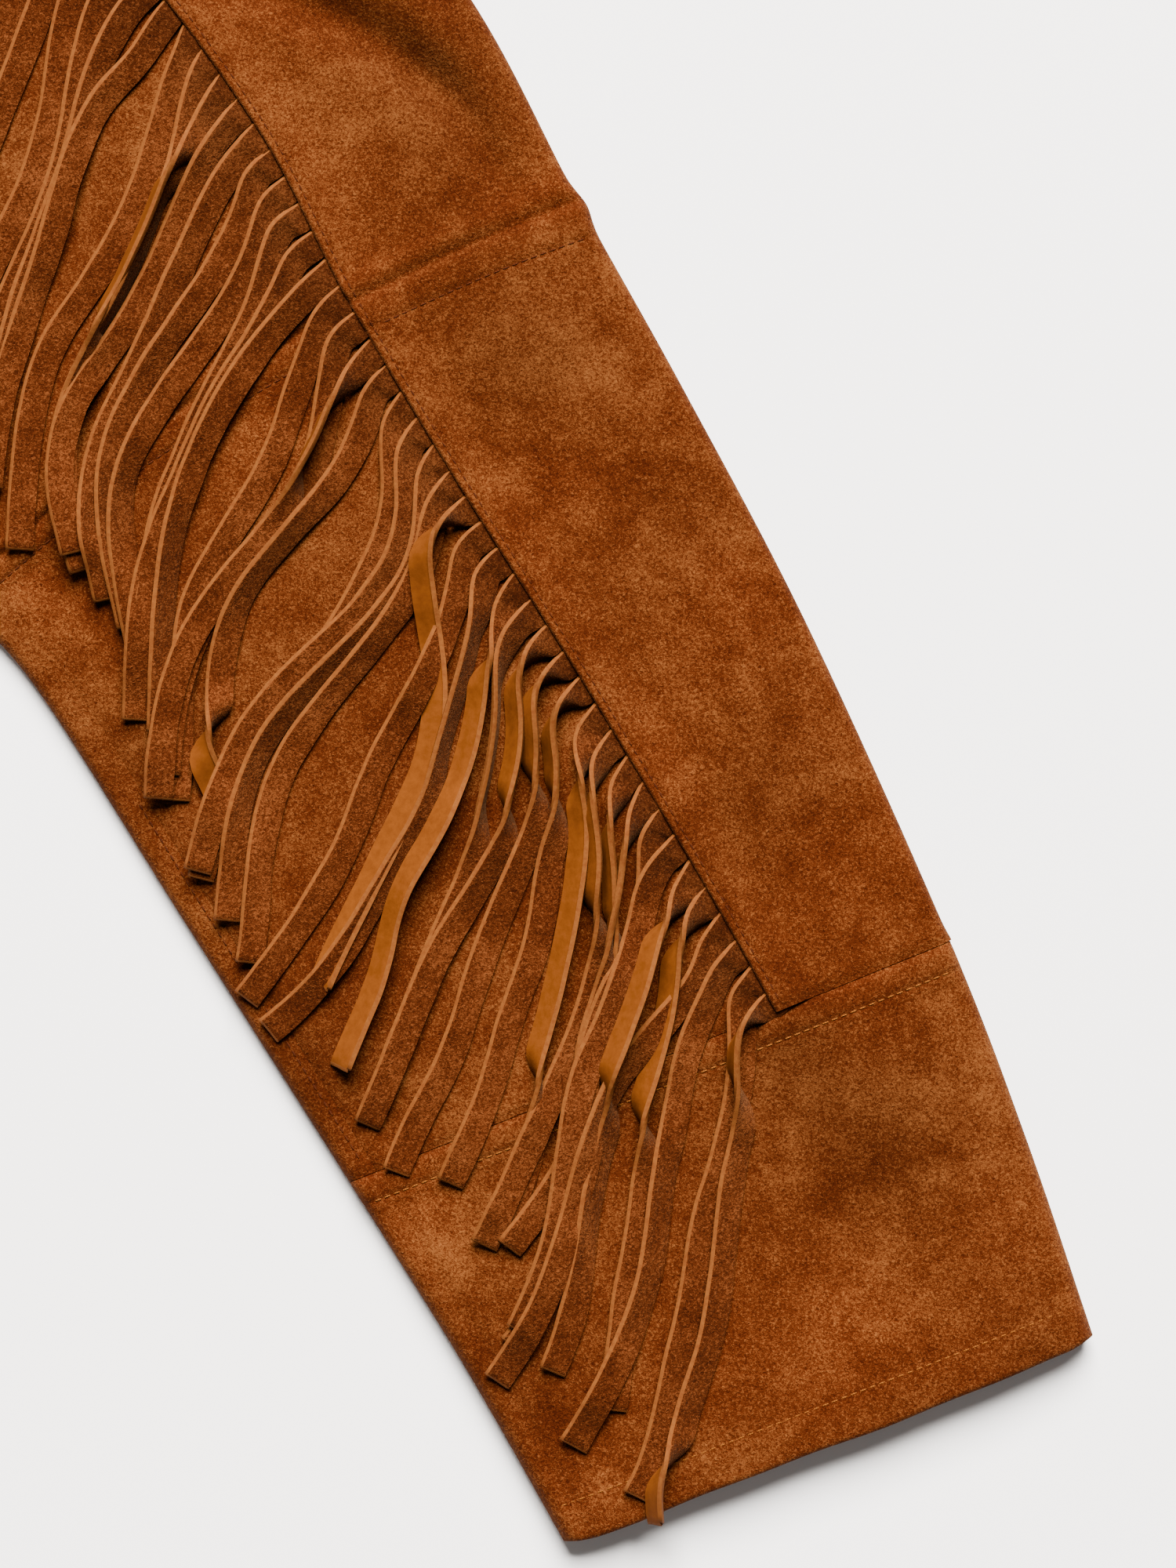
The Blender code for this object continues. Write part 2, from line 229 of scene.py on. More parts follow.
def smooth_between(before, start, end, after, share):
    slope_in, slope_out = (end - before) / 2, (after - start) / 2
    square, cube = share**2, share**3
    return (
        (2 * cube - 3 * square + 1) * start
        + (cube - 2 * square + share) * slope_in
        + (3 * square - 2 * cube) * end
        + (cube - square) * slope_out
    )


def sleeve_row(station):
    """The sleeve's table read between its rows, in metres, by numpy arrays."""
    station = np.asarray(station, dtype=float)
    rows = np.array(SLEEVE_ROWS) * (MM, MM, MM, MM, MM, 1.0, MM)
    last = len(rows) - 1
    low = np.clip(station.astype(int), 0, last - 1)
    near = [rows[np.clip(low + i, 0, last)] for i in (-1, 0, 1, 2)]
    return np.moveaxis(smooth_between(*near, (station - low)[..., None]), -1, 0)


def sleeve_plan(station, share):
    """x, y of a place of the flattened sleeve, and the section's width there."""
    outer_x, outer_y, inner_x, inner_y, bow, _, _ = sleeve_row(station)
    width = np.hypot(inner_x - outer_x, inner_y - outer_y)
    across_x, across_y = (inner_x - outer_x) / width, (inner_y - outer_y) / width
    shift = bow * 4 * share * (1 - share)
    x = outer_x + across_x * share * width + across_y * shift
    y = outer_y + across_y * share * width - across_x * shift
    return x, y, width


def seam_share(station):
    return sleeve_row(station)[5]


def fold_radius(station):
    return sleeve_row(station)[6]


def along_sleeve(station, seam):
    """Distance down the sleeve from a cross seam, at a station."""
    here, there = sleeve_plan(seam - 0.05, 0.5), sleeve_plan(seam + 0.05, 0.5)
    step = math.hypot(there[0] - here[0], there[1] - here[1]) / 0.1
    return (station - seam) * step


def ramp(value, start, end):
    share = np.clip((value - start) / (end - start), 0.0, 1.0)
    return share * share * (3 - 2 * share)


def fold_height(x, y, folds):
    """Height of the soft troughs and ridges at x, y."""
    total = np.zeros_like(x)
    for x0, y0, x1, y1, bow, height, width in folds:
        dx, dy = (x1 - x0) * MM, (y1 - y0) * MM
        long = math.hypot(dx, dy)
        along = ((x - x0 * MM) * dx + (y - y0 * MM) * dy) / long
        off = ((x - x0 * MM) * -dy + (y - y0 * MM) * dx) / long
        share = along / long
        off = off - bow * MM * 4 * share * (1 - share)
        ends = ramp(share, -0.25, 0.2) * (1 - ramp(share, 0.75, 1.3))
        total += height * MM * ends * bell(off, width * MM)
    return total


def cross_seam(distance, swell):
    """A seam across the cloth: a swell and a groove, then the doubled allowance below
    it, and the furrow of its stitches."""
    from_stitches = distance - SEAM_ALLOWANCE
    groove = -0.35 * bell(distance, 1.2 * MM)
    doubled = 0.8 * ramp(distance, -0.4 * MM, 1.8 * MM)
    doubled = doubled * (1 - ramp(from_stitches, -1.0 * MM, 3.5 * MM))
    furrow = -0.45 * bell(from_stitches, 0.9 * MM)
    ridge = swell * bell(distance + 2.8 * MM, 2.1 * MM)
    return (groove + doubled + furrow + ridge) * MM


def upper_height(station, share):
    """Height of the sleeve's upper surface, without what the fringe seam adds."""
    x, y, width = sleeve_plan(station, share)
    edge = np.minimum(share, 1 - share) * width
    height = 2 * fold_radius(station) + CROWN * (1 - np.abs(2 * share - 1) ** 4)
    inland = ramp(edge, 2.0 * MM, 14.0 * MM)
    height = height + fold_height(x, y, SLEEVE_FOLDS) * inland
    height = height + cross_seam(along_sleeve(station, ELBOW), ELBOW_SWELL)
    height = height + cross_seam(along_sleeve(station, CUFF), CUFF_SWELL)
    to_hem = -along_sleeve(station, HEM)
    height = height - HEM_FURROW * bell(to_hem - HEM_TURN, 0.8 * MM)
    height = height + HEM_DOUBLED * (1 - ramp(to_hem, HEM_TURN, HEM_TURN + 2.5 * MM))
    under = (share - UNDER_SEAM_SHARE) * width
    furrow = UNDER_SEAM_DEPTH * ramp(station, UNDER_SEAM_FROM, UNDER_SEAM_FULL)
    return height - furrow * bell(under, 1.2 * MM)


def rounded_edge(distance, radius):
    """How far cloth dips within a radius of its turned edge."""
    inside = np.clip(1 - distance / radius, 0.0, 1.0)
    return radius * (1 - np.sqrt(1 - inside**2))


def outer_top(station, share):
    """The outer panel's upper surface, which rises onto the fringe's head."""
    width = sleeve_plan(station, share)[2]
    to_seam = (seam_share(station) - share) * width
    lift = FRINGE_LIFT * (1 - ramp(to_seam, 1.0 * MM, FRINGE_LIFT_REACH))
    furrow = 0.3 * MM * bell(to_seam - TOPSTITCH_IN, 0.6 * MM)
    return upper_height(station, share) + lift - furrow - rounded_edge(to_seam, TURNED_EDGE)


def mesh_piece(name, bm, *materials):
    mesh = new_mesh(name, bm)
    for material in materials:
        mesh.materials.append(material)
    mesh.shade_smooth()
    return new_object(name, mesh)


def applied_mesh(obj):
    """The mesh an object has once its modifiers have worked."""
    bpy.context.view_layer.update()
    depsgraph = bpy.context.evaluated_depsgraph_get()
    return bpy.data.meshes.new_from_object(obj.evaluated_get(depsgraph))


def thicken(obj, thickness):
    """Gives a sheet of faces the hide's thickness: nap in front, the smooth side
    behind and a cut edge round it."""
    wall = obj.modifiers.new("hide", "SOLIDIFY")
    wall.thickness = thickness
    wall.offset = -1.0
    wall.material_offset = 1
    wall.material_offset_rim = 2
    thick = applied_mesh(obj)
    thick.set_sharp_from_angle(angle=SHARP_TURN)
    thin = obj.data
    obj.modifiers.clear()
    obj.data = thick
    bpy.data.meshes.remove(thin)


def cloth(name, across, along, place, side=1, mirrored=False):
    """A panel of hide: place gives x, y, z of its face for arrays of stops, and the
    hide's thickness lies behind that face. Edges that meet are joined. A mirrored
    panel's place gives one half of it."""
    bm = bmesh.new()
    columns, lines = len(across) - 1, len(along) - 1
    bmesh.ops.create_grid(bm, x_segments=columns, y_segments=lines, size=1.0)
    bm.verts.ensure_lookup_table()
    flat = np.array([v.co[:2] for v in bm.verts])
    column = np.rint((flat[:, 0] + 1) / 2 * columns).astype(int)
    line = np.rint((flat[:, 1] + 1) / 2 * lines).astype(int)
    x, y, z = place(np.array(across)[column], np.array(along)[line])
    # Each point carries the hide's tone in the "nap" attribute: the nap's own tone and painted
    # shade and light.
    nap = bm.verts.layers.float.new("nap")
    nap_and_shade_tones = nap_and_shade_tone(x, y)
    for vertex, point, tone in zip(bm.verts, zip(x * side, y, z), nap_and_shade_tones):
        vertex.co = point
        vertex[nap] = tone
    if side > 0:
        bmesh.ops.reverse_faces(bm, faces=bm.faces)
    if mirrored:
        half = set(bm.faces)
        bmesh.ops.mirror(bm, geom=bm.verts[:] + bm.edges[:] + bm.faces[:], axis="X")
        other_half = [face for face in bm.faces if face not in half]
        bmesh.ops.reverse_faces(bm, faces=other_half)
    bmesh.ops.remove_doubles(bm, verts=bm.verts, dist=0.01 * MM)
    obj = mesh_piece(name, bm, panel_suede, panel_reverse, panel_edge)
    thicken(obj, HIDE)
    return obj


def paint_between(pattern, shader, nodes, links, darker, lighter, start=0.0, end=1.0):
    """Colours a surface from darker to lighter as its pattern goes from start to end."""
    stops = nodes.new("ShaderNodeValToRGB")
    low, high = stops.color_ramp.elements
    low.position, low.color = start, (*darker, 1.0)
    high.position, high.color = end, (*lighter, 1.0)
    links.new(pattern, stops.inputs["Fac"])
    links.new(stops.outputs["Color"], shader.inputs["Base Color"])
    return stops


def noise_pattern(nodes, links, place, scale, detail, roughness=0.5, distortion=0.0):
    """Soft uneven values over a place."""
    noise = nodes.new("ShaderNodeTexNoise")
    noise.inputs["Scale"].default_value = scale
    noise.inputs["Detail"].default_value = detail
    noise.inputs["Roughness"].default_value = roughness
    noise.inputs["Distortion"].default_value = distortion
    links.new(place, noise.inputs["Vector"])
    return noise.outputs["Fac"]


def raise_grain(pattern, shader, nodes, links, strength, depth):
    """Gives a surface the fine relief of its pattern."""
    bump = nodes.new("ShaderNodeBump")
    bump.inputs["Strength"].default_value = strength
    bump.inputs["Distance"].default_value = depth
    links.new(pattern, bump.inputs["Height"])
    links.new(bump.outputs["Normal"], shader.inputs["Normal"])


PATCH_SHARE, FIBRE_SHARE, FLECK_SHARE = 0.7, 1.7, 0.7
FLECK_LEVEL = 0.56


def suede(name, dark, middle, light, cloud_share):
    """Brushed suede: clouds where the nap lies one way or the other, patches, fibres
    and pale flecks. Each point of a piece carries a tone in its "nap" attribute that scales the
    colour: the nap's own tone, and painted shade and light."""
    made, shader, nodes, links = new_finish(name, 0.95, 0.04)
    shader.inputs["Specular Tint"].default_value = (1.0, 0.72, 0.5, 1.0)
    shader.inputs["Sheen Weight"].default_value = 0.05
    shader.inputs["Sheen Roughness"].default_value = 0.45
    shader.inputs["Sheen Tint"].default_value = (1.0, 0.55, 0.25, 1.0)
    place = nodes.new("ShaderNodeTexCoord").outputs["Object"]

    def noise(*settings):
        return noise_pattern(nodes, links, place, *settings)

    def math_node(operation, first, second):
        node = nodes.new("ShaderNodeMath")
        node.operation = operation
        for socket, value in zip(node.inputs, (first, second)):
            if isinstance(value, float):
                socket.default_value = value
            else:
                links.new(value, socket)
        return node.outputs["Value"]

    clouds = noise(24.0, 3.0, 0.55, 0.6)
    patches = noise(130.0, 5.0, 0.65, 0.3)
    fibres = noise(1700.0, 2.0, 0.7, 0.9)
    flecks = noise(2600.0, 1.0, 0.5, 2.0)
    mixed = math_node("MULTIPLY", clouds, cloud_share)
    mixed = math_node("ADD", mixed, math_node("MULTIPLY", patches, PATCH_SHARE))
    mixed = math_node("ADD", mixed, math_node("MULTIPLY", fibres, FIBRE_SHARE))
    mixed = math_node("MULTIPLY", mixed, 1.0 / (cloud_share + PATCH_SHARE + FIBRE_SHARE))
    raised = math_node("MAXIMUM", math_node("SUBTRACT", flecks, FLECK_LEVEL), 0.0)
    mixed = math_node("ADD", mixed, math_node("MULTIPLY", raised, FLECK_SHARE))
    stops = paint_between(mixed, shader, nodes, links, dark, light, 0.36, 0.65)
    stops.color_ramp.elements.new(0.5).color = (*middle, 1.0)
    # The "nap" attribute scales the colour: on the panels the nap's own tone with painted shade
    # and light, on the thongs painted shade at their heads.
    lay = nodes.new("ShaderNodeAttribute")
    lay.attribute_name = "nap"
    tone = nodes.new("ShaderNodeVectorMath")
    tone.operation = "SCALE"
    links.new(stops.outputs["Color"], tone.inputs[0])
    links.new(lay.outputs["Fac"], tone.inputs["Scale"])
    links.new(tone.outputs["Vector"], shader.inputs["Base Color"])
    height = math_node("ADD", math_node("MULTIPLY", patches, 0.6), fibres)
    raise_grain(height, shader, nodes, links, 0.9, 0.35 * MM)
    return made


def plain_hide(name, lighter, darker, grain):
    """The smooth side of the hide, or its pale cut edge."""
    made, shader, nodes, links = new_finish(name, 0.8, 0.08)
    shader.inputs["Specular Tint"].default_value = (1.0, 0.6, 0.35, 1.0)
    place = nodes.new("ShaderNodeTexCoord").outputs["Object"]
    pattern = noise_pattern(nodes, links, place, grain, 4.0, 0.65)
    paint_between(pattern, shader, nodes, links, darker, lighter, 0.35, 0.65)
    raise_grain(pattern, shader, nodes, links, 0.5, 0.12 * MM)
    return made


SMOOTH_GRAIN, CUT_GRAIN = 500.0, 900.0
panel_suede = suede(
    "suede",
    dark=(0.014, 0.0016, 0.0002),
    middle=(0.040, 0.0068, 0.0010),
    light=(0.114, 0.036, 0.0086),
    cloud_share=0.8625,
)
panel_reverse = plain_hide(
    "suede_smooth_side", (0.090, 0.022, 0.0030), (0.066, 0.015, 0.0020), SMOOTH_GRAIN
)
panel_edge = plain_hide("suede_cut_edge", (0.125, 0.038, 0.011), (0.065, 0.017, 0.004), CUT_GRAIN)

# Stops round the section: which part of it, and what share of that part.
TOP, FOLD, UNDER, INNER_FOLD, LAP = range(5)
PART_END = 0.999
FOLD_STEPS = 12
NEAR_SEAM = (0.0, 0.006, 0.012, 0.02, 0.03, 0.042, 0.056, 0.075, 0.1)


def part_stops(part, shares):
    return [part + PART_END * share for share in shares]


OUTER_STOPS = (
    part_stops(TOP, (*NEAR_SEAM, *np.linspace(0.13, 1.0, 22)))
    + part_stops(FOLD, np.linspace(0.08, 1.0, FOLD_STEPS))
    + part_stops(UNDER, np.linspace(0.03, 0.97, 24))
    + part_stops(INNER_FOLD, np.linspace(0.0, 0.92, FOLD_STEPS))
    + part_stops(LAP, (0.0, 0.5, 0.8, 1.0))
)


def seam_bulge(station):
    """The doubled hide at a cross seam stands out a little at the outer fold."""
    total = 0.0
    for seam, out in ((ELBOW, 1.2), (CUFF, 0.5)):
        off = along_sleeve(station, seam) - 1.0 * MM
        total = total + out * MM * bell(off, 3.4 * MM)
    return total


def outer_panel_point(stop, station):
    """x, y, z on the outer panel's face, going round the section."""
    part = np.floor(stop).astype(int)
    t = (stop - part) / PART_END
    seam = seam_share(station)
    radius = fold_radius(station)
    _, _, width = sleeve_plan(station, 0.5)
    edge = radius / width
    half_gap = SEAM_GAP / 2 / width
    angle = math.pi * t
    share = np.select(
        [part == TOP, part == FOLD, part == UNDER, part == INNER_FOLD],
        [
            (seam - half_gap) * (1 - t) + edge * t,
            edge * (1 - np.sin(angle)),
            edge + (1 - 2 * edge) * t,
            1 - edge * (1 - np.sin(angle)),
        ],
        (1 - edge) * (1 - t) + (UNDER_SEAM_SHARE + half_gap) * t,
    )
    x, y, _ = sleeve_plan(station, share)
    ends_x, ends_y, _ = sleeve_plan(station[:, None], np.array([0.0, 1.0]))
    out = seam_bulge(station) * (1 - ramp(share * width, 0.0, 14.0 * MM)) / width
    x = x + (ends_x[:, 0] - ends_x[:, 1]) * out
    y = y + (ends_y[:, 0] - ends_y[:, 1]) * out
    top_at_edge = upper_height(station, edge)
    top_inside = upper_height(station, 1 - edge)
    z = np.select(
        [part == TOP, part == FOLD, part == UNDER, part == INNER_FOLD],
        [
            outer_top(station, share),
            top_at_edge / 2 * (1 + np.cos(angle)),
            np.zeros_like(t),
            top_inside / 2 * (1 - np.cos(angle)),
        ],
        upper_height(station, share),
    )
    return x, y, z


UPPER_SLEEVE_LONG = 300.0 * MM
SEAM_CLEAR = 12.0 * MM


def between_seams(start, end, count):
    """Stations from one cross seam to the next, closer together at the seams."""
    long = UPPER_SLEEVE_LONG if start == ARMHOLE else along_sleeve(end, start)
    near = np.array([0.0, 0.4, 0.8, 1.3, 2.0, 3.0, 4.3, 5.6, 6.3, 6.8, 7.3, 8.2, 9.5]) * MM
    step = (end - start) / long
    gap = SEAM_GAP / 2 * step
    middle = np.linspace(start + SEAM_CLEAR * step, end - SEAM_CLEAR * step, count)
    return np.concatenate([start + gap + near * step, middle, (end - gap - near * step)[::-1]])


def finish_panel(piece, node):
    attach(piece, "root")
    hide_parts(node)


UPPER_SLEEVE = between_seams(ARMHOLE, ELBOW, 100)
FOREARM = between_seams(ELBOW, CUFF, 70)
for hand, side in HANDS:
    piece = cloth(f"upper_sleeve_outer_{hand}", OUTER_STOPS, UPPER_SLEEVE, outer_panel_point, side)
    finish_panel(piece, f"sleeve_upper_outer_{hand}")
    piece = cloth(f"forearm_outer_{hand}", OUTER_STOPS, FOREARM, outer_panel_point, side)
    finish_panel(piece, f"sleeve_forearm_outer_{hand}")


# The sleeves' inner panels, of the same suede. They lie under the fringe, and go
# from the fringe seam to the topstitched under seam.
INNER_STOPS = np.concatenate([np.array(NEAR_SEAM) * 0.6, np.linspace(0.08, 1.0, 56)])[::-1]


def inner_top(station, share):
    """The inner panel's face, which sinks under the fringe's head at the seam."""
    width = sleeve_plan(station, share)[2]
    from_seam = (share - seam_share(station)) * width
    sunk = 0.8 * MM * (1 - ramp(from_seam, 0.0, 9.0 * MM))
    return upper_height(station, share) - sunk


def inner_panel_point(stop, station):
    _, _, width = sleeve_plan(station, 0.5)
    half_gap = SEAM_GAP / 2 / width
    start = seam_share(station) + half_gap
    share = start + (UNDER_SEAM_SHARE - half_gap - start) * stop
    x, y, _ = sleeve_plan(station, share)
    return x, y, inner_top(station, share)


for hand, side in HANDS:
    piece = cloth(f"upper_sleeve_inner_{hand}", INNER_STOPS, UPPER_SLEEVE, inner_panel_point, side)
    finish_panel(piece, f"sleeve_upper_inner_{hand}")
    piece = cloth(f"forearm_inner_{hand}", INNER_STOPS, FOREARM, inner_panel_point, side)
    finish_panel(piece, f"sleeve_forearm_inner_{hand}")


# The cuff section goes all round the sleeve below the last cross seam. Its hem is
# turned up inside and stitched, so the end of the sleeve stands open a little.
CORNER_DRAWN = 2.6
CUFF_STOPS = (
    part_stops(TOP, np.linspace(0.0, 1.0, 84))
    + part_stops(FOLD, np.linspace(0.08, 1.0, FOLD_STEPS))
    + part_stops(UNDER, np.linspace(0.03, 0.97, 24))
    + part_stops(INNER_FOLD, np.linspace(0.0, 1.0, FOLD_STEPS))
)


def cuff_point(stop, station):
    part = np.floor(stop).astype(int)
    t = (stop - part) / PART_END
    _, _, width = sleeve_plan(station, 0.5)
    edge = fold_radius(station) / width
    angle = math.pi * t
    share = np.select(
        [part == TOP, part == FOLD, part == UNDER],
        [(1 - edge) * (1 - t) + edge * t, edge * (1 - np.sin(angle)), edge + (1 - 2 * edge) * t],
        1 - edge * (1 - np.sin(angle)),
    )
    to_hem = -along_sleeve(station, HEM)
    corner = 1 - ramp(np.minimum(share, 1 - share) * width, -1.0 * MM, 7.0 * MM)
    wave = 0.5 * np.sin(share * 11.0 + 0.6) + 0.3 * np.sin(share * 27.0)
    drawn = (CORNER_DRAWN * corner + wave) * MM * (1 - ramp(to_hem, 0.0, 14.0 * MM))
    x, y, _ = sleeve_plan(station - drawn / along_sleeve(HEM, HEM - 1.0), share)
    outer_side = upper_height(station, edge)
    inner_side = upper_height(station, 1 - edge)
    turned = rounded_edge(to_hem, 1.4 * MM)
    z = np.select(
        [part == TOP, part == FOLD, part == UNDER],
        [
            upper_height(station, share) - turned,
            (outer_side / 2 - 0.8 * turned) * np.cos(angle) + outer_side / 2,
            0.6 * turned,
        ],
        (inner_side / 2 - 0.8 * turned) * -np.cos(angle) + inner_side / 2,
    )
    return x, y, z


def cuff_stations():
    long = along_sleeve(HEM, CUFF)
    step = (HEM - CUFF) / long
    near = np.array([0.15, 0.6, 1.0, 1.6, 2.4, 3.6, 5.0, 6.0, 6.6, 7.1, 7.6, 8.6, 10.0]) * MM
    hem = np.array([10.0, 8.5, 7.4, 6.8, 6.4, 5.9, 5.0, 3.5, 2.0, 1.3, 0.8, 0.4, 0.15, 0.0]) * MM
    middle = np.linspace(CUFF + SEAM_CLEAR * step, HEM - SEAM_CLEAR * step, 34)
    return np.concatenate([CUFF + near * step, middle, HEM - hem * step])


for hand, side in HANDS:
    piece = cloth(f"cuff_section_{hand}", CUFF_STOPS, cuff_stations(), cuff_point, side)
    finish_panel(piece, f"cuff_{hand}")


# The fringe: one strip of hide along each sleeve, cut into quarter-inch thongs and
# caught in the seam by its head. The thongs lie across one another like shingles
# with their pale cut edges raised, and some have rolled onto their nap side.
STRIP_WIDTH = 6.6 * MM
STRIP_THICK = 1.1 * MM
STRIP_LENGTH = 128.0 * MM
STRIP_BEVEL = 0.45 * MM
STRIP_PITCH = 7.0 * MM
STRIP_STEP = 1.5 * MM
FIRST_ROOT = 5.2 * MM
TOP_CLEAR = 55.0 * MM
HEAD_UNDER = 3.5 * MM
HEAD_FREE = 14.0 * MM
# Painted shade on the thongs' heads under the outer panel's edge: how dark at the head, and how
# far down the thong it fades.
HEAD_SHADE, HEAD_SHADE_REACH = 0.42, 26.0 * MM
LEAST_ROLL, MOST_ROLL, ADDED_ROLL = 15.0, 42.0, 6.0
BEND_STEPS = 1.6
DRIFT_THONGS, DRIFT_STATIONS, DRIFT = 1.6, 0.8, 3.0
USUAL_LOOSE = 9.0
PRESSED = 2.2 * MM
CELL = 0.5 * MM
MAP_CORNER = (0.20, -0.32)
MAP_CELLS = (960, 1240)
LAY_STATIONS = (8.5, 13.5, 22, 38, 56, 74, 92, 110, 126)
STRIP_LAY = (
    # Headings down the length of each thong, in degrees from straight down the
    # jacket towards its middle, at the stations above. From the cuff seam upwards.
    (48, 2, 0, 14, 6, 7, 20, 12, -6),
    (42, -4, 0, 13, 18, 7, 14, 12, 28),
    (45, 22, 27, 10, 10, 6, 20, 28, 30),
    (42, 8, 42, 40, 22, 14, 18, 30, 36),
    (40, 0, 2, 14, 20, 6, 12, 5, 8),
    (35, 5, 12, 20, 22, 14, 8, 15, 25),
    (45, 30, 10, 20, 25, 8, 8, 20, 30),
    (38, -4, 5, 28, 20, 2, 5, 18, 38),
    (30, 0, 5, 15, 20, 0, 6, 22, 48),
    (36, -5, -9, 0, 11, 16, 20, 38, 38),
    (40, -5, -14, 4, 12, 22, 25, 24, 26),
    (40, -4, -20, 5, 11, 14, 19, 16, 27),
    (45, 0, -10, 22, 5, 22, 14, 24, 25),
    (46, 3, -8, 16, 25, 20, 16, 30, 22),
    (45, 3, -8, 12, 30, 34, 22, 22, 24),
    (46, 24, -5, 8, 16, 24, 22, 20, 25),
    (38, 4, -2, 10, 22, 33, 10, 24, 22),
    (48, -3, 10, 17, 15, 32, 30, 40, 52),
    (52, 6, 14, 27, 30, 18, 30, 36, 38),
    (47, 11, -6, -10, 5, 25, 26, 27, 22),
    (40, 14, 14, 34, 42, 34, 14, 4, 8),
    (32, -3, 6, 36, 47, 42, 20, 8, 5),
    (38, 0, -3, 30, 48, 44, 26, 17, 15),
    (36, 2, -6, 22, 30, 46, 30, 18, 15),
    (45, 12, 24, 40, 41, 20, -2, -28, 5),
    (42, 20, 18, 34, 42, 36, 18, 6, 4),
    (50, 12, 8, 14, 40, 42, 20, 8, 6),
    (47, 22, 20, 17, 33, 30, 7, 3, 4),
    (45, 43, 40, 32, 24, 12, 5, 2, 3),
    (52, 20, 26, 34, 24, 24, 12, 3, 3),
    (55, 16, 16, 28, 26, 21, 10, 3, 4),
    (50, 10, 22, 34, 36, 26, 0, -11, -9),
    (50, 12, 24, 34, 33, 25, 0, -12, -13),
    (40, 38, 26, 24, 24, 28, 10, -10, -13),
    (38, 34, 26, 22, 30, 37, 12, -14, -15),
    (30, 26, 20, 22, 28, 33, 12, -10, -17),
    (25, 12, 12, 18, 24, 32, 20, -10, -18),
    (20, 20, 16, 18, 30, 36, 15, 6, 3),
    (35, 30, 45, 24, 14, 19, 19, 10, 5),
    (45, 30, 25, 12, 21, 20, 15, 10, 8),
    (45, 28, 15, 8, 16, 26, 20, 15, 10),
    (45, 30, 15, 7, 15, 29, 20, 15, 10),
)
USUAL_LAY = (45, 24, 16, 18, 24, 24, 15, 10, 8)
STRIP_ROLLS = (
    # thong, counted from the cuff; from and to along it in mm; degrees of roll
    (0, 12, 30, 105),
    (0, 114, 140, 118),
    (4, 16, 62, 128),
    (5, 18, 62, 128),
    (8, 16, 44, 95),
    (9, 18, 48, 112),
    (10, 18, 50, 120),
    (11, 22, 94, 132),
    (12, 12, 36, 112),
    (13, 12, 38, 122),
    (14, 14, 50, 122),
    (15, 20, 60, 80),
    (16, 24, 140, 134),
    (17, 20, 60, 60),
    (19, 14, 140, 146),
    (24, 100, 140, 168),
    (25, 18, 42, 100),
    (35, 26, 70, 108),
    (36, 34, 86, 72),
    (44, 0, 140, 150),
    (46, 20, 70, 118),
    (51, 60, 140, 125),
    (55, 16, 60, 110),
    (60, 40, 120, 128),
    (64, 20, 52, 112),
)


def blurred(values, reach):
    size = int(3 * reach) + 1
    kernel = np.exp(-0.5 * (np.arange(-size, size + 1) / reach) ** 2)
    return np.convolve(np.pad(values, size, mode="edge"), kernel / kernel.sum(), "valid")


def highest_near(values, reach):
    padded = np.pad(values, reach, mode="edge")
    return np.max([padded[i : i + len(values)] for i in range(2 * reach + 1)], axis=0)


def cells(x, y):
    column = np.clip(((x - MAP_CORNER[0]) / CELL).astype(int), 0, MAP_CELLS[0] - 1)
    line = np.clip(((y - MAP_CORNER[1]) / CELL).astype(int), 0, MAP_CELLS[1] - 1)
    return column, line


def sleeve_map():
    """Heights of what the thongs fall on, as a map of small cells."""
    heights = np.zeros(MAP_CELLS)
    station, share = np.meshgrid(np.linspace(0.0, HEM, 2200), np.linspace(0.0, 1.0, 460))
    x, y, width = sleeve_plan(station, share)
    under_outer = (seam_share(station) - share) * width > 8.0 * MM
    top = np.where(
        under_outer & (station < CUFF), outer_top(station, share), inner_top(station, share)
    )
    radius = fold_radius(station)
    edge = np.clip(np.minimum(share, 1 - share) * width / radius, 0.0, 1.0)
    top = top / 2 * (1 + np.sqrt(1 - (1 - edge) ** 2))
    np.maximum.at(heights, cells(x, y), top)
    return heights


def distance_along(*columns):
    """How far each point of a line is from its first."""
    steps = np.linalg.norm(np.diff(np.stack(columns, axis=1), axis=0), axis=1)
    return np.concatenate([[0.0], np.cumsum(steps)])


def seam_line():
    """Points up the fringe seam from the cuff, and their distances."""
    station = np.linspace(CUFF, 0.1, 1500)
    share = seam_share(station)
    x, y, _ = sleeve_plan(station, share)
    return x, y, inner_top(station, share), distance_along(x, y)


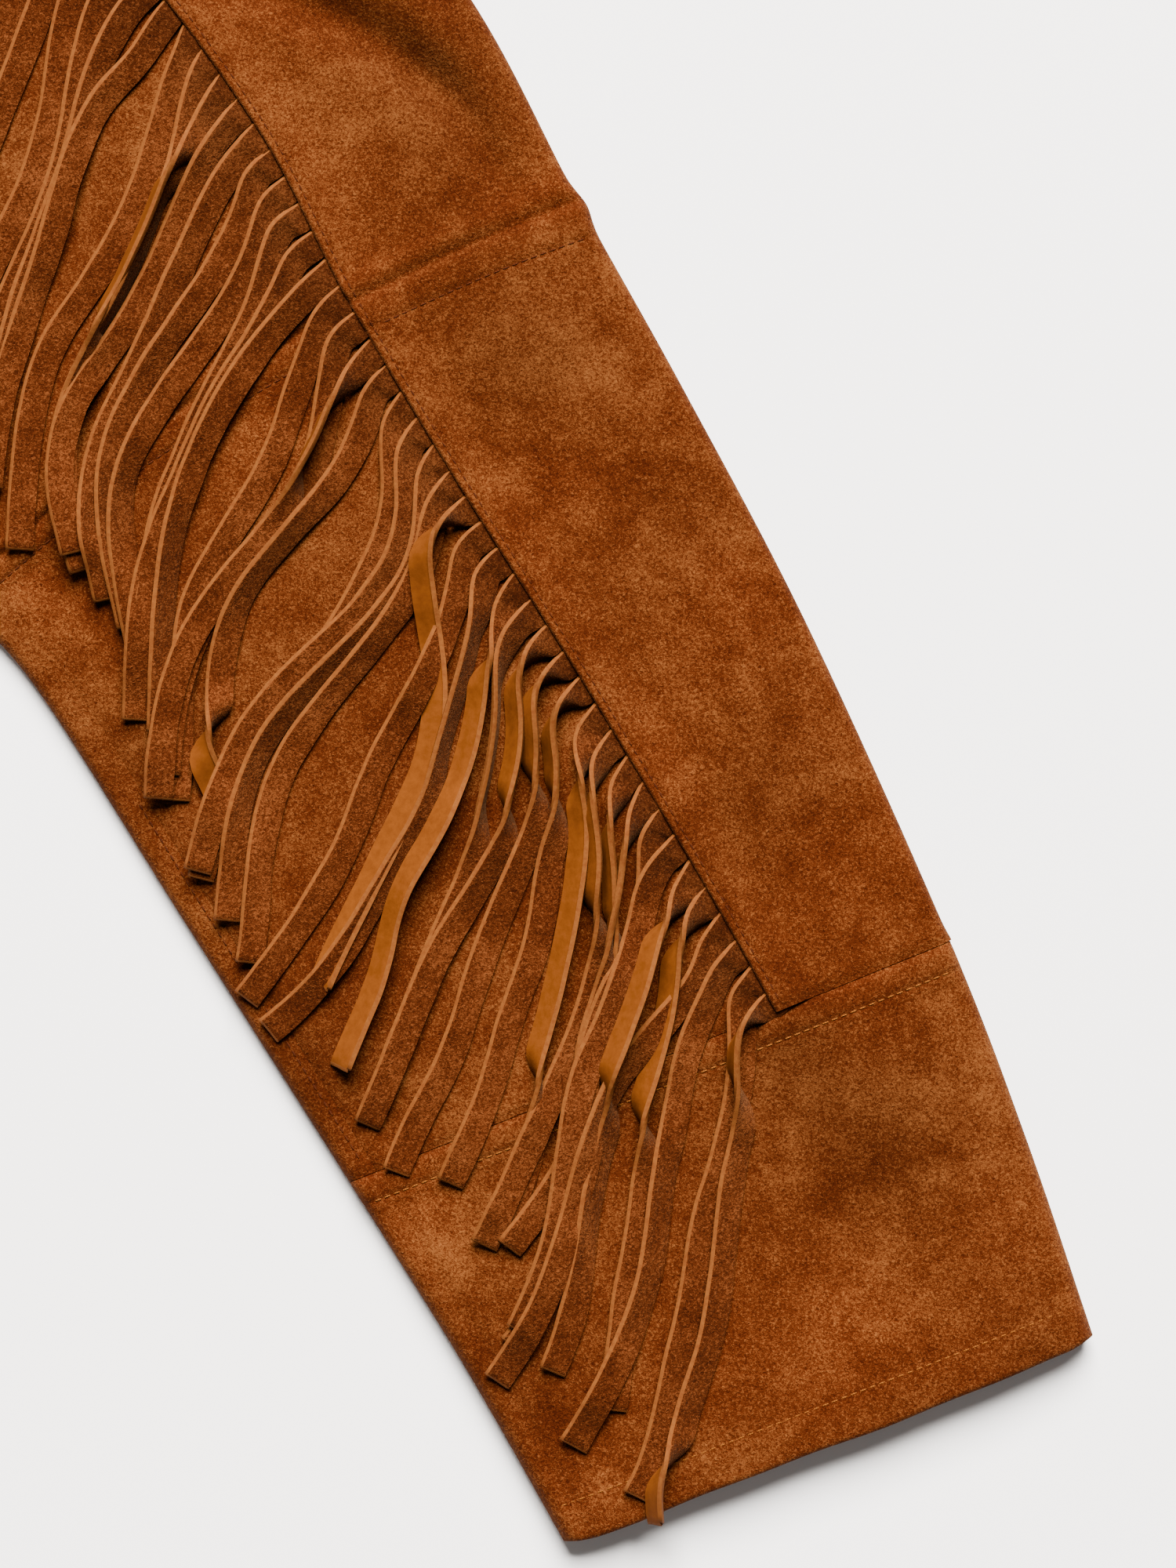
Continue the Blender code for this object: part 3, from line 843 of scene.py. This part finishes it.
def thong(number, root, root_height, heights, chance, loose):
    """Lays one thong on the map: its raised edge, its roll and its width."""
    steps = np.arange(0.0, STRIP_LENGTH * (1 + 0.02 * chance.standard_normal()), STRIP_STEP)
    steps[-1] = steps[-2] + STRIP_BEVEL
    lay = np.array(STRIP_LAY[number] if number < len(STRIP_LAY) else USUAL_LAY, dtype=float)
    lay = lay + loose[number]
    heading = np.interp(steps / MM, LAY_STATIONS, lay)
    heading = np.radians(blurred(heading, BEND_STEPS))
    along = np.stack([-np.sin(heading), -np.cos(heading)], axis=1)
    left = np.stack([along[:, 1], -along[:, 0]], axis=1)
    edge = np.array(root) - HEAD_UNDER * along[0] + np.concatenate(
        [np.zeros((1, 2)), np.cumsum(along[:-1] * np.diff(steps)[:, None], axis=0)]
    )
    reach = np.linspace(0.0, 1.0, 9)[:, None, None]
    under = heights[cells(*np.moveaxis(edge - reach * STRIP_WIDTH * 0.95 * left, -1, 0))]
    tilt = np.degrees(np.arctan2(under[:3].max(0) - under[5:].max(0), 0.62 * STRIP_WIDTH))
    roll = np.clip(tilt + ADDED_ROLL, LEAST_ROLL, MOST_ROLL)
    roll = blurred(roll, 3.0) * ramp(steps, HEAD_UNDER, HEAD_UNDER + 7.0 * MM)
    roll = roll * (1 - 0.6 * ramp(steps, steps[-1] - 25.0 * MM, steps[-1]))
    for which, start, end, degrees in STRIP_ROLLS:
        if which == number:
            turned = ramp(steps, (start - 8) * MM, (start + 8) * MM)
            turned = turned * (1 - ramp(steps, (end - 8) * MM, (end + 8) * MM))
            roll = roll * (1 - turned) + degrees * turned
    roll = np.radians(roll)
    flat, rise = np.cos(roll), np.sin(roll)
    places = edge - reach * STRIP_WIDTH * (flat[:, None] * left)
    below = heights[cells(*np.moveaxis(places, -1, 0))]
    need = below + reach[..., 0] * STRIP_WIDTH * rise + STRIP_THICK / 2 * np.abs(flat)
    need = need.max(0) + 0.1 * MM
    top = np.maximum(blurred(highest_near(need, 1), BEND_STEPS), need)
    top = blurred(top, 1.0)
    head = root_height + STRIP_THICK / 2 + 0.7 * MM
    freed = ramp(steps, HEAD_UNDER + 0.5 * MM, HEAD_UNDER + HEAD_FREE)
    top = np.minimum(top, head + HEAD_FREE * freed)
    resting = np.sort(below, axis=0)[len(below) // 3]
    fine = np.linspace(0.0, 1.0, 17)[:, None, None]
    for part in (0.0, 0.33, 0.67):
        here = edge[:-1] + part * np.diff(edge, axis=0)
        level = top[:-1] + part * np.diff(top)
        spots = here - fine * STRIP_WIDTH * (flat[:-1, None] * left[:-1])
        level = level - fine[..., 0] * STRIP_WIDTH * rise[:-1]
        level = level + STRIP_THICK / 2 * np.abs(flat[:-1])
        level = np.minimum(level, resting[:-1] + PRESSED)
        np.maximum.at(heights, cells(*np.moveaxis(spots, -1, 0)), level)
    top[-1] -= 0.5 * MM
    return edge, left, top, flat, rise


# Across a thong: share of the width, and how far the face stands up there, in mm.
# The first step is the slanting cut, which the raised edge turns to the light.
ACROSS = (
    (0.0, -0.5),
    (0.095, 0.3),
    (0.13, 0.34),
    (0.3, 0.12),
    (0.6, 0.0),
    (0.85, 0.02),
    (1.0, -0.15),
)


def thong_mesh(run, chance, side):
    """A flat strip of faces along the thong, with its nap side up."""
    edge, left, top, flat, rise = run
    last = len(edge) - 1
    bm = bmesh.new()
    bands = len(ACROSS) - 1
    bmesh.ops.create_grid(bm, x_segments=last, y_segments=bands, size=1.0, calc_uvs=True)
    uneven = 1 + 0.06 * blurred(chance.standard_normal(last + 1), 2.0)
    for face in bm.faces:
        middle = face.calc_center_median()
        if middle.y < 2.0 / bands - 1.0 or middle.x > 1.0 - 2.0 / last:
            face.material_index = 2
    nap = bm.verts.layers.float.new("nap")
    for vertex in bm.verts:
        step = round((vertex.co.x + 1) / 2 * last)
        across, raised = ACROSS[round((vertex.co.y + 1) / 2 * bands)]
        width = STRIP_WIDTH * (0.5 + (across - 0.5) * uneven[step])
        lift = STRIP_THICK / 2 + raised * MM
        plan = edge[step] - left[step] * (width * flat[step] + lift * rise[step])
        # Painted shade: the thong's head, under the outer panel's edge, is darkened in the "nap"
        # attribute, and this fades over HEAD_SHADE_REACH.
        lit = min(1.0, step * STRIP_STEP / HEAD_SHADE_REACH)
        vertex[nap] = HEAD_SHADE + (1 - HEAD_SHADE) * lit
        vertex.co = (
            plan[0] * side,
            plan[1],
            top[step] - width * rise[step] + lift * flat[step],
        )
    if side < 0:
        bmesh.ops.reverse_faces(bm, faces=bm.faces)
    return new_mesh("thong", bm)


fringe_nap = suede(
    "fringe_nap",
    dark=(0.013, 0.0017, 0.0003),
    middle=(0.039, 0.0072, 0.0013),
    light=(0.114, 0.032, 0.0078),
    cloud_share=0.575,
)
fringe_smooth = plain_hide(
    "fringe_smooth", (0.100, 0.0260, 0.0034), (0.078, 0.0195, 0.0023), SMOOTH_GRAIN
)
fringe_edge = plain_hide(
    "fringe_cut_edge", (0.112, 0.036, 0.0080), (0.085, 0.023, 0.0050), CUT_GRAIN
)
SLEEVE_MAP = sleeve_map()


def fringe(hand, side, seed, looseness):
    """One sleeve's fringe, laid from its top thong down."""
    chance = np.random.default_rng(seed)
    heights = SLEEVE_MAP.copy()
    x, y, z, distance = seam_line()
    count = int((distance[-1] - FIRST_ROOT - TOP_CLEAR) / STRIP_PITCH)
    drift = chance.standard_normal((count, len(LAY_STATIONS)))
    drift = np.array([blurred(column, DRIFT_THONGS) for column in drift.T]).T
    drift = np.array([blurred(line, DRIFT_STATIONS) for line in drift]) * DRIFT
    amount = np.where(np.arange(count) < len(STRIP_LAY), looseness, USUAL_LOOSE)[:, None]
    loose = drift * amount * np.linspace(0.3, 1.0, len(LAY_STATIONS))
    whole = bmesh.new()
    for number in reversed(range(count)):
        up = FIRST_ROOT + number * STRIP_PITCH
        root = (np.interp(up, distance, x), np.interp(up, distance, y))
        run = thong(number, root, np.interp(up, distance, z), heights, chance, loose)
        mesh = thong_mesh(run, chance, side)
        whole.from_mesh(mesh)
        bpy.data.meshes.remove(mesh)
    piece = mesh_piece(f"fringe_{hand}", whole, fringe_nap, fringe_smooth, fringe_edge)
    thicken(piece, STRIP_THICK)
    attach(piece, "root")
    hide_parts(f"sleeve_fringe_{hand}")


fringe("left", 1, seed=11, looseness=0.0)
fringe("right", -1, seed=29, looseness=5.0)


# The thread of the sleeves' topstitching, in short beads sunk a little into the
# nap: beside the fringe seam, below the elbow and cuff seams, along the under seam
# and round the hem. The cuff's is a paler tan.
STITCH_PITCH = 2.3 * MM
STITCH_LONG = 1.7 * MM
STITCH_WIDE = 0.42 * MM
STITCH_RISE = 0.1 * MM


def bead():
    """One stitch, lying along X."""
    bm = bmesh.new()
    bmesh.ops.create_uvsphere(bm, u_segments=6, v_segments=4, radius=0.5)
    bmesh.ops.rotate(bm, verts=bm.verts, matrix=Matrix.Rotation(math.pi / 2, 3, "Y"))
    bmesh.ops.scale(bm, verts=bm.verts, vec=(STITCH_LONG, STITCH_WIDE, STITCH_WIDE * 0.8))
    return new_mesh("bead", bm)


STITCH = bead()


def sew(name, lines, material, side=1, pitch=STITCH_PITCH):
    """Stitches along lines, each given as arrays of x, y and z."""
    whole = bmesh.new()
    for line in lines:
        points = np.stack(line, axis=1) * (side, 1, 1)
        distance = distance_along(*points.T)
        for spot in np.arange(pitch / 2, distance[-1], pitch):
            here, ahead = (
                Vector([np.interp(d, distance, column) for column in points.T])
                for d in (spot, spot + STITCH_LONG / 2)
            )
            turn = (ahead - here).to_track_quat("X", "Z").to_matrix().to_4x4()
            stitch = STITCH.copy()
            stitch.transform(Matrix.Translation(here) @ turn)
            whole.from_mesh(stitch)
            bpy.data.meshes.remove(stitch)
    piece = mesh_piece(name, whole, material)
    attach(piece, "root")
    return piece


def thread(name, dark, light):
    """Twisted thread, with the twist as fine slanting bands."""
    made, shader, nodes, links = new_finish(name, 0.9, 0.08)
    place = nodes.new("ShaderNodeTexCoord")
    twist = nodes.new("ShaderNodeTexWave")
    twist.bands_direction = "DIAGONAL"
    twist.inputs["Scale"].default_value = 900.0
    twist.inputs["Distortion"].default_value = 1.5
    links.new(place.outputs["Object"], twist.inputs["Vector"])
    paint_between(twist.outputs["Fac"], shader, nodes, links, dark, light)
    raise_grain(twist.outputs["Fac"], shader, nodes, links, 0.5, 0.05 * MM)
    return made


brown_thread = thread("thread_brown", (0.024, 0.0040, 0.0003), (0.045, 0.0085, 0.0007))
tan_thread = thread("thread_tan", (0.085, 0.0230, 0.0026), (0.150, 0.048, 0.0070))


def beside_fringe_seam(start, end):
    station = np.linspace(start, end, 300)
    share = seam_share(station) - TOPSTITCH_IN / sleeve_plan(station, 0.5)[2]
    x, y, _ = sleeve_plan(station, share)
    return x, y, outer_top(station, share) + STITCH_RISE


def across_sleeve(seam, down, start, end):
    station = np.full(200, seam) + down / along_sleeve(seam + 1.0, seam)
    share = np.linspace(start, end, 200)
    x, y, _ = sleeve_plan(station, share)
    outside = (share < seam_share(station)) & (seam == ELBOW)
    top = np.where(outside, outer_top(station, share), upper_height(station, share))
    return x, y, top + STITCH_RISE


def along_under_seam(start, end):
    station = np.linspace(start, end, 300)
    share = UNDER_SEAM_SHARE + TOPSTITCH_IN / sleeve_plan(station, 0.5)[2]
    x, y, _ = sleeve_plan(station, share)
    return x, y, upper_height(station, share) + STITCH_RISE


for hand, side in HANDS:
    sew(
        f"sleeve_topstitch_{hand}",
        [
            beside_fringe_seam(0.15, ELBOW - 0.02),
            beside_fringe_seam(ELBOW + 0.02, CUFF - 0.02),
            across_sleeve(ELBOW, SEAM_ALLOWANCE, 0.018, 0.31),
            across_sleeve(ELBOW, SEAM_ALLOWANCE, 0.36, 0.945),
            along_under_seam(6.6, CUFF - 0.05),
        ],
        brown_thread,
        side,
    )
    sew(
        f"cuff_topstitch_{hand}",
        [
            across_sleeve(CUFF, SEAM_ALLOWANCE, 0.02, 0.98),
            across_sleeve(HEM, -HEM_TURN, 0.02, 0.98),
        ],
        tan_thread,
        side,
    )


# The back, one piece of hide from the hem to the shoulders, flat on the table. Its
# smooth side is what shows inside the neck.
HEM_Y, NECK_Y = -315.0 * MM, 315.0 * MM
NECK_HALF = 85.0 * MM
FRONT_NECK_DROP, BACK_NECK_DROP = 90.0 * MM, 23.0 * MM
SIDE_X = (255.0 * MM, 252.0 * MM, 249.0 * MM, 250.0 * MM, 255.0 * MM)
SIDE_Y = (HEM_Y, -220.0 * MM, -130.0 * MM, -40.0 * MM, 45.0 * MM)
ARMPIT_Y = SIDE_Y[-1]
NECK_ROW = 1.6


def neckline(x, drop):
    """Height of the neckline at a distance from the middle."""
    return NECK_Y - drop * np.sqrt(np.clip(1 - (x / NECK_HALF) ** 2, 0.0, 1.0))


def side_edge(row):
    """The body's side: rows 0 to 1 up the side seam, and 1 to 2 up the armhole."""
    y = HEM_Y + (ARMPIT_Y - HEM_Y) * np.clip(row, 0.0, 1.0)
    share = 1 - np.clip(row - 1, 0.0, 1.0)
    arm_x, arm_y, _ = sleeve_plan(np.full_like(row, ARMHOLE), share)
    side_x = np.where(row < 1, np.interp(y, SIDE_Y, SIDE_X), arm_x - SEAM_GAP / 2)
    return side_x, np.where(row < 1, y, arm_y), share


def back_point(across, row):
    side_x, side_y, _ = side_edge(row)
    turn = np.clip((row - NECK_ROW) / (2 - NECK_ROW), 0.0, 1.0) * math.pi / 2
    middle_x = NECK_HALF * np.sin(turn)
    straight = np.interp(row, (0.0, 1.0, NECK_ROW), (HEM_Y, ARMPIT_Y, NECK_Y - BACK_NECK_DROP))
    middle_y = np.where(row < NECK_ROW, straight, neckline(middle_x, BACK_NECK_DROP))
    share = np.abs(across)
    x = (middle_x + (side_x - middle_x) * share) * np.where(across < 0, -1, 1)
    return x, middle_y + (side_y - middle_y) * share, np.zeros_like(x)


def body_rows(neck_row):
    return np.concatenate([np.linspace(0.0, neck_row, 90), np.linspace(neck_row, 2.0, 26)[1:]])


piece = cloth(
    "back_panel", np.linspace(0.0, 1.0, 46), body_rows(NECK_ROW), back_point, mirrored=True
)
finish_panel(piece, "back")


# The fronts. The wearer's left front laps over the right one, and both are turned
# in and topstitched along the opening and the hem. The neck runs down to the top
# button, and the hide lies in soft folds from the shoulders and the armpits.
FRONTS = (("left", 1, True), ("right", -1, False))
OVERLAP_HALF = 15.0 * MM
OPENING_ROW = 1.45
FRONT_EDGE = 3.4 * MM
FRONT_CROWN = 2.8 * MM
LAP_LIFT = 1.8 * MM
OPENING_TURN = 9.0 * MM
FRONT_FOLDS = (
    # start x, y, end x, y, bow, height, width
    (235.0, 60.0, 120.0, -10.0, 10.0, -3.0, 11.9),
    (225.0, 95.0, 130.0, 55.0, -8.0, 2.6, 14.4),
    (205.0, 235.0, 110.0, 190.0, 8.0, -2.4, 12.8),
    (120.0, 270.0, 60.0, 150.0, -10.0, 2.4, 17.0),
    (60.0, 120.0, 110.0, -20.0, 12.0, -2.4, 15.3),
    (190.0, 0.0, 150.0, -130.0, 9.0, 2.8, 18.7),
    (215.0, -120.0, 190.0, -250.0, -8.0, -2.8, 15.3),
    (110.0, -120.0, 80.0, -260.0, 10.0, 2.6, 20.4),
    (60.0, -60.0, 45.0, -170.0, -6.0, -1.8, 12.8),
    (150.0, -190.0, 140.0, -300.0, 7.0, -2.4, 12.8),
)


def front_edge(row):
    """A front's edge, up the opening and then round the neckline."""
    opening_top = neckline(OVERLAP_HALF, FRONT_NECK_DROP)
    straight = np.interp(row, (0.0, 1.0, OPENING_ROW), (HEM_Y, ARMPIT_Y, opening_top))
    first = -math.asin(OVERLAP_HALF / NECK_HALF)
    turn = np.clip((row - OPENING_ROW) / (2 - OPENING_ROW), 0.0, 1.0)
    edge_x = NECK_HALF * np.sin(first + (math.pi / 2 - first) * turn)
    return edge_x, np.where(row < OPENING_ROW, straight, neckline(edge_x, FRONT_NECK_DROP))


def share_of(distance, row):
    """What share of the way across a front a distance is, row by row."""
    edge_x, edge_y = front_edge(row)
    side_x, side_y, _ = side_edge(row)
    return distance / np.hypot(side_x - edge_x, side_y - edge_y)


def front_height(across, row, lapped):
    """x, y, z on a front's face, at a share of the way across it and a row up it."""
    edge_x, edge_y = front_edge(row)
    side_x, side_y, share = side_edge(row)
    x = edge_x + (side_x - edge_x) * across
    y = edge_y + (side_y - edge_y) * across
    at_side = np.where(row < 1, 0.0, 1 - np.abs(2 * share - 1) ** 4)
    hem_rise = 0.5 + 0.5 * np.clip((y - HEM_Y) / (95.0 * MM), 0.0, 1.0)
    at_edge = np.where(row < 1, hem_rise, np.where(share > 0.5, 1.0, at_side))
    level = FRONT_EDGE + FRONT_CROWN * (at_edge + (at_side - at_edge) * across**4)
    length = np.hypot(side_x - edge_x, side_y - edge_y)
    to_edge, to_side = across * length, (1 - across) * length
    inland = ramp(np.minimum(to_edge, to_side), 3.0 * MM, 30.0 * MM)
    level = level + fold_height(x, y, FRONT_FOLDS) * inland
    sleeve = upper_height(np.full_like(row, ARMHOLE), share)
    meet = np.where(row < 1, 0.0, sleeve - FRONT_EDGE - FRONT_CROWN * at_side)
    level = level + meet * bell(to_side, 14.0 * MM)
    level = level - 0.5 * MM * bell(to_side, 1.5 * MM)
    hem = y - HEM_Y
    for inside in (hem - HEM_TURN, to_edge - OPENING_TURN):
        level = level + 0.45 * MM * (1 - ramp(inside, 0.0, 2.5 * MM))
        level = level - 0.4 * MM * bell(inside, 0.8 * MM)
    level = level - rounded_edge(hem, 1.2 * MM) - rounded_edge(to_edge, 1.0 * MM)
    level = level - 0.5 * rounded_edge(to_side, 2.5 * MM) * (row < 1)
    if lapped:
        level = level + LAP_LIFT * (1 - ramp(x, 45.0 * MM, 90.0 * MM))
    return x, y, level


def front_point(lapped):
    return lambda across, row: front_height(across, row, lapped)


def across_front():
    """Stops from the opening to the side, closer together at both edges."""
    near = [0.0, 0.0012, 0.0025, 0.0045, 0.007, 0.011, 0.018, 0.026]
    stitched = [0.031, 0.035, 0.039, 0.045]
    at_side = [0.987, 0.993, 0.997, 1.0]
    return np.concatenate([near, stitched, np.linspace(0.055, 0.98, 70), at_side])


def up_front():
    """Rows from the hem to the shoulder, closer together at the hem."""
    hem = np.array([0.0, 0.2, 0.5, 0.9, 1.5, 3.0, 5.0, 5.8, 6.5, 7.2, 8.0, 9.5]) * MM
    return np.concatenate([hem / (ARMPIT_Y - HEM_Y), body_rows(OPENING_ROW)[3:]])


for hand, side, lapped in FRONTS:
    piece = cloth(
        f"front_panel_{hand}", across_front(), up_front()[::-1], front_point(lapped), side
    )
    finish_panel(piece, f"front_{hand}")

ARMHOLE_STITCH_IN = 2.2 * MM
row = np.linspace(0.0, 1.0, 300)
up_opening = row * (OPENING_ROW - 0.03) + 0.02
up_armhole = 1.02 + 0.96 * row
hem_row = np.full(300, HEM_TURN / (ARMPIT_Y - HEM_Y))


for hand, side, lapped in FRONTS:
    sew(
        f"front_topstitch_{hand}",
        [
            front_height(0.04 + 0.95 * row, hem_row, lapped),
            front_height(share_of(OPENING_TURN, up_opening), up_opening, lapped),
            front_height(1 - share_of(ARMHOLE_STITCH_IN, up_armhole), up_armhole, lapped),
        ],
        brown_thread,
        side,
    )


# The neck band, a folded strip of hide sewn on round the neckline in three
# stretches, with a row of stitches along each edge.
BAND_WIDTH = 11.0 * MM
BAND_THICK = 1.3 * MM
BAND_BACK_REACH = 76.0 * MM
BAND_STOPS = (0.0, 0.03, 0.08, 0.14, 0.2, 0.35, 0.5, 0.65, 0.8, 0.86, 0.92, 0.97, 1.0)
BAND_STITCHES = (0.14, 0.86)
RIGHT_BAND_SHORT = 0.11


def pillow(across):
    """How the folded strip rounds off at its edges and dips at its stitches."""
    edge = np.minimum(across, 1 - across) * BAND_WIDTH
    dip = 0.25 * MM * bell(edge - 1.6 * MM, 0.6 * MM)
    return BAND_THICK + 0.3 * MM - rounded_edge(edge, 1.2 * MM) * 0.8 - dip


def front_band_point(lapped):
    def place(across, row):
        width = share_of(BAND_WIDTH, row)
        x, y, _ = front_height(across * width, row, lapped)
        level = front_height(np.full_like(row, 0.5) * width, row, lapped)[2]
        return x, y, level + pillow(across)

    return place


def back_band_point(across, along):
    x = BAND_BACK_REACH * along
    y = neckline(x, BACK_NECK_DROP) - 0.5 * MM - BAND_WIDTH * across
    return x, y, HIDE + 0.1 * MM + pillow(across)


def finish_band(piece, node, lines, side):
    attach(piece, "root")
    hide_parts(node)
    stitches = sew(f"{piece.name}_stitches", lines, brown_thread, side)


for hand, side, lapped in FRONTS:
    start = OPENING_ROW if lapped else OPENING_ROW + RIGHT_BAND_SHORT
    along = np.concatenate([np.linspace(start, 1.99, 44), [1.994, 1.998, 2.0]])
    place = front_band_point(lapped)
    piece = cloth(f"neck_band_front_{hand}", BAND_STOPS, along[::-1], place, side)
    fine = np.linspace(start + 0.005, 1.99, 200)
    lines = [place(np.full(200, across), fine) for across in BAND_STITCHES]
    finish_band(piece, f"neck_band_{hand}", lines, side)
along = np.linspace(1.0, -1.0, 60)
piece = cloth("neck_band_behind", BAND_STOPS, along, back_band_point)
fine = np.linspace(-0.99, 0.99, 300)
lines = [back_band_point(np.full(300, across), fine) for across in BAND_STITCHES]
finish_band(piece, "neck_band_back", lines, 1)


# The buttons, of dark horn: a raised rim round a dished middle with four holes.
# They stand on the left front, in line down the opening, each sewn with thread.
BUTTON_HEIGHTS = (200.0, 108.0, 16.0, -76.0, -168.0)
BUTTON_BASE = 8.5 * MM
BUTTON_TURN = 0.3
BUTTON_STRANDS = (-1.95, -1.55, 1.55, 1.95)
STRAND_UP = 1.85 * MM
BUTTON_HALF_PROFILE = (
    # radius, height
    (0.0, 1.7),
    (4.6, 1.7),
    (5.6, 1.9),
    (6.5, 2.5),
    (7.3, 3.0),
    (8.1, 3.2),
    (8.9, 3.1),
    (9.6, 2.6),
    (10.0, 1.8),
    (9.8, 1.0),
    (9.2, 0.4),
    (8.2, 0.1),
    (6.5, 0.0),
    (0.0, 0.0),
)
HOLE_RADIUS = 1.05 * MM
HOLE_OUT = 1.75 * MM


def button_shape():
    bm = bmesh.new()
    points = [bm.verts.new((r * MM, 0.0, z * MM)) for r, z in BUTTON_HALF_PROFILE]
    edges = [bm.edges.new(pair) for pair in zip(points, points[1:])]
    bmesh.ops.spin(
        bm, geom=points + edges, cent=(0, 0, 0), axis=(0, 0, 1), angle=2 * math.pi, steps=48
    )
    bmesh.ops.remove_doubles(bm, verts=bm.verts, dist=0.01 * MM)
    bmesh.ops.recalc_face_normals(bm, faces=bm.faces)
    disc = mesh_piece("disc", bm)
    bm = bmesh.new()
    for across in (-HOLE_OUT, HOLE_OUT):
        for up in (-HOLE_OUT, HOLE_OUT):
            bmesh.ops.create_cone(
                bm,
                cap_ends=True,
                segments=16,
                radius1=HOLE_RADIUS,
                radius2=HOLE_RADIUS * 1.15,
                depth=6.0 * MM,
                matrix=Matrix.Translation((across, up, 1.0 * MM)),
            )
    holes = mesh_piece("holes", bm)
    cut = disc.modifiers.new("holes", "BOOLEAN")
    cut.object = holes
    cut.solver = "EXACT"
    shape = applied_mesh(disc)
    bpy.data.objects.remove(disc)
    bpy.data.objects.remove(holes)
    return shape


def horn():
    """Streaked brown horn under a soft polish."""
    made, shader, nodes, links = new_finish("horn", 0.36, 0.08)
    place = nodes.new("ShaderNodeTexCoord")
    stretch = nodes.new("ShaderNodeMapping")
    stretch.inputs["Scale"].default_value = (90.0, 420.0, 200.0)
    stretch.inputs["Rotation"].default_value = (0.0, 0.0, 0.5)
    links.new(place.outputs["Object"], stretch.inputs["Vector"])
    pattern = noise_pattern(nodes, links, stretch.outputs["Vector"], 1.0, 6.0, distortion=1.2)
    black, brown = (0.010, 0.0042, 0.0018), (0.075, 0.033, 0.013)
    paint_between(pattern, shader, nodes, links, black, brown, 0.35, 0.68)
    raise_grain(pattern, shader, nodes, links, 0.15, 0.05 * MM)
    return made


button_horn = horn()
button_mesh = button_shape()
for number, height in enumerate(BUTTON_HEIGHTS, start=1):
    bm = bmesh.new()
    bm.from_mesh(button_mesh)
    turned = Matrix.Rotation(BUTTON_TURN * number, 4, "Z")
    place = Matrix.Translation((0.0, height * MM, BUTTON_BASE)) @ turned
    bm.transform(place)
    piece = mesh_piece(f"horn_button_{number}", bm, button_horn)
    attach(piece, "root")
    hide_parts(f"button_{number}")
    bars = bmesh.new()
    for strand in BUTTON_STRANDS:
        bar = STITCH.copy()
        bar.transform(Matrix.Diagonal((3.0, 1.0, 1.2, 1.0)))
        bar.transform(place @ Matrix.Translation((0.0, strand * MM, STRAND_UP)))
        bars.from_mesh(bar)
        bpy.data.meshes.remove(bar)
    piece = mesh_piece(f"button_thread_{number}", bars, brown_thread)
    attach(piece, "root")


# The buttonholes, cut across the left front under the buttons. Both edges of each
# are bound with close stitches of the brown thread.
BUTTONHOLE_START, BUTTONHOLE_END = -4.0 * MM, 19.0 * MM
BUTTONHOLE_HALF = 0.9 * MM
ROW_STOPS = np.linspace(0.0, OPENING_ROW - 0.001, 60)


def on_left_front(x, y):
    """Points on the left front's face near the opening."""
    row = np.interp(y, front_edge(ROW_STOPS)[1], ROW_STOPS)
    edge_x, side_x = front_edge(row)[0], side_edge(row)[0]
    return front_height((x - edge_x) / (side_x - edge_x), row, True)


lines = []
for height in BUTTON_HEIGHTS:
    x = np.linspace(BUTTONHOLE_START, BUTTONHOLE_END, 40)
    for up in (-BUTTONHOLE_HALF, BUTTONHOLE_HALF):
        lines.append(on_left_front(x, np.full(40, height * MM + up)))
sew("buttonholes", lines, brown_thread, pitch=1.5 * MM)
